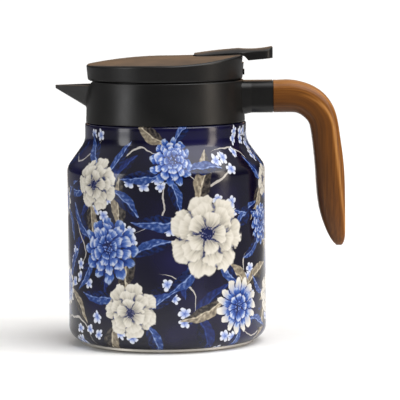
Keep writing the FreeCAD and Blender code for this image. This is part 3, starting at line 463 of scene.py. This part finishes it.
def wind_spring(name, bottom, top):
    """A tube along a helix round the upright axis, from one seat to the other."""
    form = bmesh.new()
    around = [2 * math.pi * side / SIDES for side in range(SIDES)]
    rings = []
    for step in range(TURNS * STEPS + 1):
        share = step / (TURNS * STEPS)
        angle = 2 * math.pi * TURNS * share
        outward = Vector((math.cos(angle), math.sin(angle), 0.0))
        height = bottom + WIRE_RADIUS + (top - bottom - 2 * WIRE_RADIUS) * share
        centre = COIL_RADIUS * outward + UP * height
        spokes = [math.cos(a) * outward + math.sin(a) * UP for a in around]
        rings.append([form.verts.new(centre + WIRE_RADIUS * spoke) for spoke in spokes])
    for near, far in zip(rings, rings[1:]):
        for side in range(SIDES):
            after = (side + 1) % SIDES
            form.faces.new((near[side], far[side], far[after], near[after])).smooth = True
    form.faces.new(rings[0])
    form.faces.new(rings[-1])
    bmesh.ops.recalc_face_normals(form, faces=form.faces)
    mesh = bpy.data.meshes.new(name)
    form.to_mesh(mesh)
    form.free()
    coil = bpy.data.objects.new(name, mesh)
    bpy.context.scene.collection.objects.link(coil)
    return coil


lower_seat, upper_seat = (corner.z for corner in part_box("valve_spring"))
coil = wind_spring("valve_coil", lower_seat, upper_seat)
coil.data.materials.append(FINISHES["spring_steel"])
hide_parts("valve_spring")
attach(coil, "lid")
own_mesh(coil)

# %% [markdown]
# ## The printed jar: profile
# The shell is drawn from one sheet of steel: foot, wall, shoulder and neck. The CAD solid has the same shape,
# but its triangles are uneven, and the print needs an even map. So the jar is made again in a fine, regular
# mesh. Its profile could be traced from the solid's mesh. It is drawn from the same arcs and straight lines
# instead, because then its points can be spaced evenly.

# %% Draw the jar's profile
# Sizes of the jar in mm, from its foot to its mouth
BODY_RADIUS, SHEET = 60.0, 0.5
FOOT_HEIGHT, LIP_RADIUS, CORNER_RADIUS = 1.9, 49.5, 9.0
SHOULDER_Z, SHOULDER_RADIUS, SHOULDER_LEAN = 104.0, 10.0, 36.0
NECK_RADIUS, NECK_SWEEP = 48.8, 12.0
STEP_Z, STEP_ROUND = 132.7, 1.2
MOUTH_RADIUS, MOUTH_Z = 45.7, 147.7
WALL_STEP, NECK_STEP = 3.0, 2.0


def bend_points(centre, radius, start, end, steps):
    """Points on an arc, with its angles in degrees."""
    angles = [math.radians(start + (end - start) * step / steps) for step in range(steps + 1)]
    return [(centre[0] + radius * math.cos(a), centre[1] + radius * math.sin(a)) for a in angles]


def rise_points(radius, low, high, step):
    """Points up a straight wall, about a step apart, without its two ends."""
    count = max(1, round(abs(high - low) / step))
    return [(radius, low + (high - low) * part / count) for part in range(1, count)]


def jar_profile(inset):
    """Radius and height along the jar from its foot to its mouth, moved in by the inset."""
    lean_cos, lean_sin = math.cos(math.radians(SHOULDER_LEAN)), math.sin(math.radians(SHOULDER_LEAN))
    bends = SHOULDER_RADIUS + NECK_SWEEP
    slope = (BODY_RADIUS - NECK_RADIUS - bends + bends * lean_cos) / lean_sin
    neck_z = SHOULDER_Z + bends * lean_sin + slope * lean_cos
    corner = (BODY_RADIUS - CORNER_RADIUS, FOOT_HEIGHT + CORNER_RADIUS)
    shoulder = (BODY_RADIUS - SHOULDER_RADIUS, SHOULDER_Z)
    sweep = (NECK_RADIUS + NECK_SWEEP, neck_z)
    step = (NECK_RADIUS - STEP_ROUND, STEP_Z)
    return [
        (LIP_RADIUS, FOOT_HEIGHT + inset),
        *bend_points(corner, CORNER_RADIUS - inset, -90, 0, 12),
        *rise_points(BODY_RADIUS - inset, corner[1], SHOULDER_Z, WALL_STEP),
        *bend_points(shoulder, SHOULDER_RADIUS - inset, 0, SHOULDER_LEAN, 6),
        *bend_points(sweep, NECK_SWEEP + inset, 180 + SHOULDER_LEAN, 180, 8),
        *rise_points(NECK_RADIUS - inset, neck_z, STEP_Z, NECK_STEP),
        *bend_points(step, STEP_ROUND - inset, 0, 90, 4),
        (MOUTH_RADIUS - inset, STEP_Z + STEP_ROUND - inset),
        (MOUTH_RADIUS - inset, MOUTH_Z),
    ]


outside, inside = jar_profile(0.0), jar_profile(SHEET)
print(f"profile: {len(outside)} points")

# %% [markdown]
# ## The printed jar: turning
# A turned shape could be a Screw modifier on the profile. Here the mesh is built column by column, because
# then each corner's place on the map is known as it is made. Round the jar is one axis of the map. The way
# along the profile, up the outside and down the inside, is the other.

# %% Turn the jar
AROUND = 192


def turn_jar(name, ring):
    """The closed ring of radius and height, turned round the axis, with a map that unrolls it."""
    lengths = [0.0]
    for first, second in zip(ring, ring[1:] + ring[:1]):
        lengths.append(lengths[-1] + math.dist(first, second))
    form = bmesh.new()
    unrolled = form.loops.layers.uv.new("OFBake")
    columns = []
    for step in range(AROUND):
        angle = 2 * math.pi * step / AROUND + math.pi / 2
        columns.append([
            form.verts.new((r * MM * math.cos(angle), r * MM * math.sin(angle), z * MM)) for r, z in ring])
    for step, (near, far) in enumerate(zip(columns, columns[1:] + columns[:1])):
        for place in range(len(ring)):
            after = (place + 1) % len(ring)
            face = form.faces.new((near[place], far[place], far[after], near[after]))
            face.smooth = True
            corners = ((step, place), (step + 1, place), (step + 1, place + 1), (step, place + 1))
            for loop, (around, up) in zip(face.loops, corners):
                loop[unrolled].uv = (around / AROUND, lengths[up] / lengths[-1])
    mesh = bpy.data.meshes.new(name)
    form.to_mesh(mesh)
    form.free()
    jar = bpy.data.objects.new(name, mesh)
    bpy.context.scene.collection.objects.link(jar)
    return jar


jar = turn_jar("printed_jar", outside + inside[::-1])
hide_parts("outer_shell")
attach(jar, "vessel")
print(f"jar: {len(jar.data.polygons)} faces")

# %% [markdown]
# ## The print: where the motifs go
# The jar carries a floral transfer print under clear lacquer: cream camellias, blue dahlias and frosted
# asters on a night-blue ground. Such a print could be an image, or thousands of small meshes. Here the
# shader draws it, as a stencil artist would: every motif is a stamp with a place, a size and a turn. The
# sheet is half as long as the jar is round, so the design comes twice. Each bloom sends out five leaves, of
# three lengths and tilted left and right in turn, and dim leaves lie scattered behind.

# %% Set out the blooms, leaves and stems
REPEAT = math.pi * BODY_RADIUS
LEAVES_EACH, LEAF_TILT = 5, 16
DIM_ROWS, FIRST_ROW, ROW_STEP = 16, 8.0, 7.2


def heading(degrees):
    """The unit vector on a bearing."""
    return Vector((math.cos(math.radians(degrees)), math.sin(math.radians(degrees))))


# Each stamp: millimetres round the jar, millimetres up it, radius or half length, and turn in degrees
CAMELLIAS = [(26, 70, 25, 20), (-46, 100, 16, 100), (-22, 26, 17, 200), (86, 30, 12, 300), (80, 100, 10, 60)]
DAHLIAS = [(-36, 62, 20, 40), (74, 74, 13, 10), (4, 114, 14, 330)]
ASTERS = [(48, 27, 17, 150), (-84, 36, 13, 260), (-88, 88, 11, 80)]
BLOOMS = CAMELLIAS + DAHLIAS + ASTERS
STEMS = [
    (-6, 88, 20, 70), (-62, 62, 18, 100), (56, 50, 17, 250), (-66, 14, 20, 165), (30, 106, 20, 10),
    (10, 38, 17, 130), (66, 14, 20, 15), (52, 116, 18, 160), (-22, 116, 18, 200), (-66, 118, 16, 20),
]
leaves = []
for number, (across, up, radius, turned) in enumerate(BLOOMS):
    for spoke in range(LEAVES_EACH):
        bearing = turned + 360 / LEAVES_EACH * spoke + 17 * (number % 3)
        length = 7.0 + 0.28 * radius + 1.6 * ((number + 2 * spoke) % 3)
        reach = radius * 0.84 + length * 0.8
        place = Vector((across, up)) + reach * heading(bearing)
        leaves.append((place.x, place.y, length, bearing + LEAF_TILT * (-1) ** spoke))
draw = random.Random(5)
dim_leaves = []
for row in range(DIM_ROWS):
    across = draw.uniform(-REPEAT / 2, REPEAT / 2)
    length = draw.uniform(12, 19)
    dim_leaves.append((across, FIRST_ROW + ROW_STEP * row, length, draw.uniform(0, 360)))
print(f"print: {len(BLOOMS)} blooms, {len(leaves)} leaves, {len(dim_leaves)} dim leaves, {len(STEMS)} stems")

# %% [markdown]
# ## The print: one motif for many stamps
# Drawing every leaf with nodes of its own would take thousands of nodes. Instead, a chain of nodes asks
# each stamp in turn whether a point is nearer to it than to the stamps before, and keeps the point's
# place within the nearest one. The motif is then drawn once, from that place. The place has a depth too,
# which differs from stamp to stamp, so that neighbouring blooms are ruffled differently.

# %% Find the nearest stamp
def repeated(stamps):
    """The stamps, with those that cross the end of the sheet on its other side too."""
    crossing = [(s[0] - math.copysign(REPEAT, s[0]), *s[1:]) for s in stamps if abs(s[0]) + s[2] > REPEAT / 2]
    return stamps + crossing


def nearest_stamp(tree, sheet, stamps, narrow=1.0):
    """A point's place in its nearest stamp: 1 at the motif's edge. narrow is width over length."""
    nearest, local = None, None
    for number, (across, up, size, turned) in enumerate(repeated(stamps)):
        centre = Vector((across, up))
        along = heading(turned) / size
        side = Vector((-along.y, along.x)) / narrow
        flat = []
        for axis in (along, side):
            weights = (*axis, -axis.dot(centre))
            flat.append(add_node(tree, "VectorMath", sheet, weights, operation="DOT_PRODUCT", out="Value"))
        depth = 0.02 * (number * 7 % 11)
        place = add_node(tree, "CombineXYZ", *flat, depth)
        away = add_node(tree, "VectorMath", place, operation="LENGTH", out="Value")
        if nearest is None:
            nearest, local = away, place
            continue
        nearer = add_node(tree, "Math", away, nearest, operation="LESS_THAN")
        local = add_node(tree, "Mix", nearer, local, place, data_type="VECTOR")
        nearest = add_node(tree, "Math", away, nearest, operation="MINIMUM")
    return local


print("stamps: nearest_stamp")

# %% [markdown]
# ## The print: leaves and stems
# A leaf is a lens shape with a pale rib, slanting veins and one half in shade. A stem is a thin bow that
# tapers to both ends. Both could be curves with a bevel, but as paint they lie perfectly flat on the jar.

# %% Draw leaves and stems
LEAF_NARROW, STEM_NARROW = 0.36, 0.5
SOFT = {"interpolation_type": "SMOOTHSTEP", "clamp": False}


def over(tree, below, mask, above):
    """One printed layer over another."""
    return add_node(tree, "Mix", mask, below, above, data_type="RGBA")


def print_leaves(tree, sheet, brush, below, stamps, palette):
    """Leaves that are widest near their start, dabbed with a brush along a curved rib."""
    local = add_node(tree, "SeparateXYZ", nearest_stamp(tree, sheet, stamps, LEAF_NARROW))
    along, across = local.outputs["X"], local.outputs["Y"]
    squared = add_node(tree, "Math", along, along, operation="MULTIPLY")
    lens = add_node(tree, "Math", 1.0, squared, operation="SUBTRACT")
    lens = add_node(tree, "Math", lens, 0.0, operation="MAXIMUM")
    taper = add_node(tree, "Math", along, -0.3, 0.9, operation="MULTIPLY_ADD")
    half_width = add_node(tree, "Math", lens, taper, operation="MULTIPLY")
    curved = add_node(tree, "Math", lens, -0.25, across, operation="MULTIPLY_ADD")
    from_rib = add_node(tree, "Math", curved, operation="ABSOLUTE")
    spare = add_node(tree, "Math", half_width, from_rib, operation="SUBTRACT")
    mask = add_node(tree, "MapRange", spare, 0.0, 0.10, 0.0, 1.0, **SOFT)
    veins = add_node(tree, "Math", from_rib, -0.5, along, operation="MULTIPLY_ADD")
    veins = add_node(tree, "Math", veins, 20.0, operation="MULTIPLY")
    veins = add_node(tree, "Math", veins, operation="SINE")
    side = add_node(tree, "MapRange", curved, -0.22, 0.22, 0.10, 0.62, **SOFT)
    rib = add_node(tree, "MapRange", from_rib, 0.03, 0.13, 0.5, 0.0, **SOFT)
    tone = add_node(tree, "Math", veins, 0.08, side, operation="MULTIPLY_ADD")
    tone = add_node(tree, "Math", tone, rib, operation="ADD")
    dabs = add_node(tree, "Math", brush, 0.5, operation="SUBTRACT")
    tone = add_node(tree, "Math", dabs, 0.9, tone, operation="MULTIPLY_ADD")
    return over(tree, below, mask, add_node(tree, "ValToRGB", tone, stops=palette))


def print_stems(tree, sheet, below, stamps, colour):
    """Thin bows with a slight wiggle."""
    local = add_node(tree, "SeparateXYZ", nearest_stamp(tree, sheet, stamps, STEM_NARROW))
    along, across = local.outputs["X"], local.outputs["Y"]
    squared = add_node(tree, "Math", along, along, operation="MULTIPLY")
    bow = add_node(tree, "Math", squared, 1.1, -0.5, operation="MULTIPLY_ADD")
    wiggle = add_node(tree, "Math", along, 5.0, operation="MULTIPLY")
    wiggle = add_node(tree, "Math", wiggle, operation="SINE")
    bow = add_node(tree, "Math", wiggle, 0.12, bow, operation="MULTIPLY_ADD")
    away = add_node(tree, "Math", across, bow, operation="SUBTRACT")
    away = add_node(tree, "Math", away, operation="ABSOLUTE")
    thick = add_node(tree, "Math", squared, -0.06, 0.07, operation="MULTIPLY_ADD")
    spare = add_node(tree, "Math", thick, away, operation="SUBTRACT")
    mask = add_node(tree, "MapRange", spare, 0.0, 0.02, 0.0, 1.0, **SOFT)
    return over(tree, below, mask, linear(colour))


print("motifs: leaf and stem")

# %% [markdown]
# ## The print: blossoms
# Small blossoms are strewn in clusters. Each could be a stamp too, but there are hundreds. A cell pattern
# gives them for nothing: one blossom to a cell, turned by the cell's own chance number, and only where a
# slow noise is high.

# %% Draw blossoms
PETALS = 5


def print_blossoms(tree, sheet, below, spacing, size, bare, palette):
    """Small five-petalled blossoms. Spacing and size are in mm, and bare is how high the noise must be."""
    cells = add_node(tree, "VectorMath", sheet, (1 / spacing, 1 / spacing, 0.0), operation="MULTIPLY")
    loose = {"Scale": 1.0, "Randomness": 0.75}
    cell = add_node(tree, "TexVoronoi", cells, named=loose, voronoi_dimensions="2D")
    middle = cell.outputs["Position"]
    local = add_node(tree, "VectorMath", cells, middle, operation="SUBTRACT")
    local = add_node(tree, "VectorMath", local, (spacing / size, spacing / size, 0.0), operation="MULTIPLY")
    parts = add_node(tree, "SeparateXYZ", local)
    away = add_node(tree, "VectorMath", local, operation="LENGTH", out="Value")
    bearing = add_node(tree, "Math", parts.outputs["Y"], parts.outputs["X"], operation="ARCTAN2")
    chance = add_node(tree, "SeparateColor", cell.outputs["Color"], out="Green")
    petal = add_node(tree, "Math", chance, math.tau, bearing, operation="MULTIPLY_ADD")
    petal = add_node(tree, "Math", petal, PETALS / 2, operation="MULTIPLY")
    petal = add_node(tree, "Math", petal, operation="COSINE")
    petal = add_node(tree, "Math", petal, operation="ABSOLUTE")
    petal = add_node(tree, "Math", petal, 0.6, operation="POWER")
    edge = add_node(tree, "Math", petal, 0.55, 0.45, operation="MULTIPLY_ADD")
    cluster = add_node(tree, "TexNoise", middle, named={"Scale": 0.3, "Detail": 0.0}, out="Fac")
    drawn = add_node(tree, "Math", cluster, bare, operation="GREATER_THAN")
    spare = add_node(tree, "Math", edge, away, operation="SUBTRACT")
    mask = add_node(tree, "MapRange", spare, 0.0, 0.12, 0.0, 1.0, **SOFT)
    mask = add_node(tree, "Math", mask, drawn, operation="MULTIPLY")
    tone = add_node(tree, "Math", petal, 0.25, away, operation="MULTIPLY_ADD")
    return over(tree, below, mask, add_node(tree, "ValToRGB", tone, stops=palette))


print("motif: blossom")

# %% [markdown]
# ## The print: blooms
# A bloom could be one star shape with a pattern on it. It is built like the flower instead: rings of petals
# laid over each other from the outside in, and a seeded heart. Each ring is dark where it comes out from
# under the next one and pale at its rim, with brush streaks that run outwards.

# %% Draw blooms
RUFFLE = 0.28
Ring = namedtuple("Ring", "radius petals phase notch shift inner palette")


def print_ring(tree, local, flat, below, ring, number):
    """One ring of petals with a ruffled rim. Its sizes are shares of the bloom's radius."""
    moved = add_node(tree, "VectorMath", flat, (0.0, ring.shift, 0.0), operation="SUBTRACT")
    parts = add_node(tree, "SeparateXYZ", moved)
    away = add_node(tree, "VectorMath", moved, operation="LENGTH", out="Value")
    bearing = add_node(tree, "Math", parts.outputs["Y"], parts.outputs["X"], operation="ARCTAN2")
    ruffle = add_node(tree, "TexNoise", local, named={"Scale": 4.0 + 1.5 * number, "Detail": 2.0}, out="Fac")
    swing = add_node(tree, "Math", bearing, ring.petals / 2, ring.phase, operation="MULTIPLY_ADD")
    swing = add_node(tree, "Math", ruffle, 1.6, swing, operation="MULTIPLY_ADD")
    swing = add_node(tree, "Math", swing, operation="COSINE")
    crest = add_node(tree, "Math", swing, operation="ABSOLUTE")
    crown = add_node(tree, "Math", crest, 0.5, operation="POWER")
    rise, valley = ring.notch * ring.radius, (1 - ring.notch - RUFFLE / 2) * ring.radius
    edge = add_node(tree, "Math", crown, rise, valley, operation="MULTIPLY_ADD")
    edge = add_node(tree, "Math", ruffle, RUFFLE * ring.radius, edge, operation="MULTIPLY_ADD")
    spare = add_node(tree, "Math", edge, away, operation="SUBTRACT")
    mask = add_node(tree, "MapRange", spare, 0.0, 0.05, 0.0, 1.0, **SOFT)
    round_heart = add_node(tree, "Math", bearing, 7.0, operation="MULTIPLY")
    outward = add_node(tree, "Math", away, 2.0, operation="MULTIPLY")
    streak_at = add_node(tree, "CombineXYZ", round_heart, outward, float(number))
    streaks = add_node(tree, "TexNoise", streak_at, named={"Scale": 1.3, "Detail": 2.0}, out="Fac")
    opening = add_node(tree, "MapRange", away, ring.inner * ring.radius, ring.radius, -0.08, 0.58, **SOFT)
    seam = add_node(tree, "MapRange", crest, 0.0, 0.45, -0.4, 0.1, **SOFT)
    tone = add_node(tree, "Math", opening, seam, operation="ADD")
    tone = add_node(tree, "Math", streaks, 0.75, tone, operation="MULTIPLY_ADD")
    return over(tree, below, mask, add_node(tree, "ValToRGB", tone, stops=ring.palette))


def print_heart(tree, flat, below, shift, palette):
    """The bloom's middle, with dots for seeds and a frayed edge."""
    middle = add_node(tree, "VectorMath", flat, (0.0, shift, 0.0), operation="SUBTRACT")
    away = add_node(tree, "VectorMath", middle, operation="LENGTH", out="Value")
    seeds = add_node(tree, "TexVoronoi", middle, named={"Scale": 15.0}, out="Distance")
    fringe = add_node(tree, "TexNoise", middle, named={"Scale": 16.0, "Detail": 1.0}, out="Fac")
    edge = add_node(tree, "Math", fringe, 0.24, 0.06, operation="MULTIPLY_ADD")
    spare = add_node(tree, "Math", edge, away, operation="SUBTRACT")
    mask = add_node(tree, "MapRange", spare, 0.0, 0.03, 0.0, 1.0, **SOFT)
    return over(tree, below, mask, add_node(tree, "ValToRGB", seeds, stops=palette))


def print_blooms(tree, sheet, picture, stamps, rings, heart):
    """Blooms of several rings of petals, from the outermost ring in."""
    local = nearest_stamp(tree, sheet, stamps)
    flat = add_node(tree, "VectorMath", local, (1.0, 1.0, 0.0), operation="MULTIPLY")
    for number, ring in enumerate(rings):
        picture = print_ring(tree, local, flat, picture, ring, number)
    return print_heart(tree, flat, picture, rings[-1].shift, heart)


print("motif: bloom")

# %% [markdown]
# ## The print: inks
# A printer mixes each ink once and uses it all over the sheet. So each motif has one palette, from its
# darkest stroke to its lightest. Every bloom could have colours of its own, but a few inks that go together
# look more like one print.

# %% Mix the inks and set up the blooms
GROUND = [(0.3, "#060517"), (0.5, "#0b0923"), (0.7, "#16143e")]
STEM = "#b9b4ae"
LEAF_BLUES = [(0.0, "#090e2e"), (0.35, "#142a62"), (0.65, "#2c4888"), (1.0, "#879bc8")]
LEAF_DIM = [(0.0, "#090b22"), (0.4, "#0f1742"), (0.7, "#162662"), (1.0, "#294080")]
LEAF_TAUPES = [(0.0, "#201d1f"), (0.35, "#5e564e"), (0.65, "#8f8471"), (1.0, "#cfc5b0")]
BLOSSOM = [(0.15, "#2f4690"), (0.4, "#7e93cf"), (0.8, "#c9d0e4"), (1.0, "#dcdfe8")]
CREAM = [(0.0, "#161a3e"), (0.2, "#555978"), (0.42, "#9e9990"), (0.68, "#c8c2b4"), (1.0, "#e0dbd0")]
COBALT = [(0.0, "#070b26"), (0.3, "#0d1f5c"), (0.55, "#193a86"), (0.85, "#4566ac"), (1.0, "#a5b5d6")]
CORNFLOWER = [(0.0, "#080d2c"), (0.25, "#102566"), (0.48, "#234494"), (0.75, "#5c7abc"), (1.0, "#c8cfe0")]
FROST = [(0.0, "#121c52"), (0.25, "#4a61a8"), (0.5, "#a2a9c2"), (0.8, "#cfccc6"), (1.0, "#e0dcd3")]
CREAM_HEART = [(0.0, "#d9cfae"), (0.25, "#5a5f8c"), (0.5, "#141b48")]
BLUE_HEART = [(0.0, "#eceae4"), (0.3, "#5d7fd0"), (0.55, "#101846")]
CAMELLIA_RINGS = [
    Ring(1.00, 7, 0.3, 0.26, 0.00, 0.50, CREAM),
    Ring(0.78, 6, 1.1, 0.24, 0.03, 0.45, CREAM),
    Ring(0.54, 5, 0.2, 0.22, 0.06, 0.30, CREAM),
]
DAHLIA_RINGS = [
    Ring(1.00, 12, 0.1, 0.36, 0.00, 0.60, COBALT),
    Ring(0.80, 10, 0.8, 0.32, 0.03, 0.55, CORNFLOWER),
    Ring(0.60, 8, 0.2, 0.30, 0.06, 0.50, CORNFLOWER),
    Ring(0.40, 6, 0.7, 0.28, 0.08, 0.30, COBALT),
]
ASTER_RINGS = [
    Ring(1.00, 15, 0.4, 0.42, 0.00, 0.55, FROST),
    Ring(0.72, 11, 0.9, 0.36, 0.05, 0.50, COBALT),
    Ring(0.50, 8, 0.3, 0.30, 0.08, 0.40, CORNFLOWER),
]
print(f"rings: {len(CAMELLIA_RINGS)} camellia, {len(DAHLIA_RINGS)} dahlia, {len(ASTER_RINGS)} aster")

# %% [markdown]
# ## The print: layers
# The layers go on as a printer lays them: ground, dim leaves, stems, blossoms, leaves and blooms. First
# the jar is unrolled, so that a stamp's place is millimetres round the jar and up it, and swayed a little,
# so that no edge looks ruled. The lacquer over the print is a clear coat: it makes the jar shine while the
# colours below stay soft.

# %% Print the jar
# Widths of the noises in mm: the sway of the outlines, the glow of the ground and the brush marks
SWAY_WIDTH, GLOW_WIDTH, BRUSH_WIDTH = 8.0, 38.0, 2.2
SWAY = 4.0
BLOSSOM_SPACING, BLOSSOM_SIZE, BLOSSOM_BARE = 8.0, 3.9, 0.58


def unroll_jar(tree, solid):
    """A point's place on the sheet: mm round the jar, mm up it, and 1, so that a dot product can add."""
    place = add_node(tree, "SeparateXYZ", solid)
    toward = add_node(tree, "Math", place.outputs["Y"], -1.0, operation="MULTIPLY")
    around = add_node(tree, "Math", place.outputs["X"], toward, operation="ARCTAN2")
    around = add_node(tree, "Math", around, BODY_RADIUS, operation="MULTIPLY")
    around = add_node(tree, "Math", around, REPEAT / 2, -REPEAT / 2, operation="WRAP")
    sheet = add_node(tree, "CombineXYZ", around, place.outputs["Z"], 1.0)
    sway = add_node(tree, "TexNoise", solid, named={"Scale": 1 / SWAY_WIDTH, "Detail": 2.0}, out="Color")
    sway = add_node(tree, "VectorMath", sway, (0.5, 0.5, 0.5), operation="SUBTRACT")
    return add_node(tree, "VectorMath", sway, (SWAY, SWAY, 0.0), sheet, operation="MULTIPLY_ADD")


def print_jar(tree, here):
    """The whole print, from the ground up."""
    solid = add_node(tree, "VectorMath", here, (1 / MM, 1 / MM, 1 / MM), operation="MULTIPLY")
    sheet = unroll_jar(tree, solid)
    glow = add_node(tree, "TexNoise", solid, named={"Scale": 1 / GLOW_WIDTH, "Detail": 2.0}, out="Fac")
    brush = add_node(tree, "TexNoise", solid, named={"Scale": 1 / BRUSH_WIDTH, "Detail": 2.0}, out="Fac")
    picture = add_node(tree, "ValToRGB", glow, stops=GROUND)
    picture = print_leaves(tree, sheet, brush, picture, dim_leaves, LEAF_DIM)
    picture = print_stems(tree, sheet, picture, STEMS, STEM)
    picture = print_blossoms(tree, sheet, picture, BLOSSOM_SPACING, BLOSSOM_SIZE, BLOSSOM_BARE, BLOSSOM)
    picture = print_leaves(tree, sheet, brush, picture, leaves[1::3], LEAF_TAUPES)
    picture = print_leaves(tree, sheet, brush, picture, leaves[0::3] + leaves[2::3], LEAF_BLUES)
    picture = print_blooms(tree, sheet, picture, DAHLIAS, DAHLIA_RINGS, BLUE_HEART)
    picture = print_blooms(tree, sheet, picture, ASTERS, ASTER_RINGS, BLUE_HEART)
    return print_blooms(tree, sheet, picture, CAMELLIAS, CAMELLIA_RINGS, CREAM_HEART)


def lacquer_finish(name):
    """The print under a clear coat, which is faintly uneven, as sprayed lacquer is."""
    material, tree = new_finish(name)
    here = add_node(tree, "TexCoord").outputs["Object"]
    peel = add_node(tree, "TexNoise", here, named={"Scale": 1 / (2.5 * MM), "Detail": 2.0}, out="Fac")
    close_finish(
        tree,
        Base_Color=print_jar(tree, here),
        Roughness=0.4,
        Specular_IOR_Level=0.0,
        Coat_Weight=0.85,
        Coat_Roughness=0.15,
        Coat_IOR=1.5,
        Normal=add_node(tree, "Bump", named={"Height": peel, "Strength": 0.05, "Distance": 0.05 * MM}),
    )
    return material


print_finish = lacquer_finish("transfer_print_under_lacquer")
jar.data.materials.append(print_finish)
print(f"print: {len(print_finish.node_tree.nodes)} nodes")
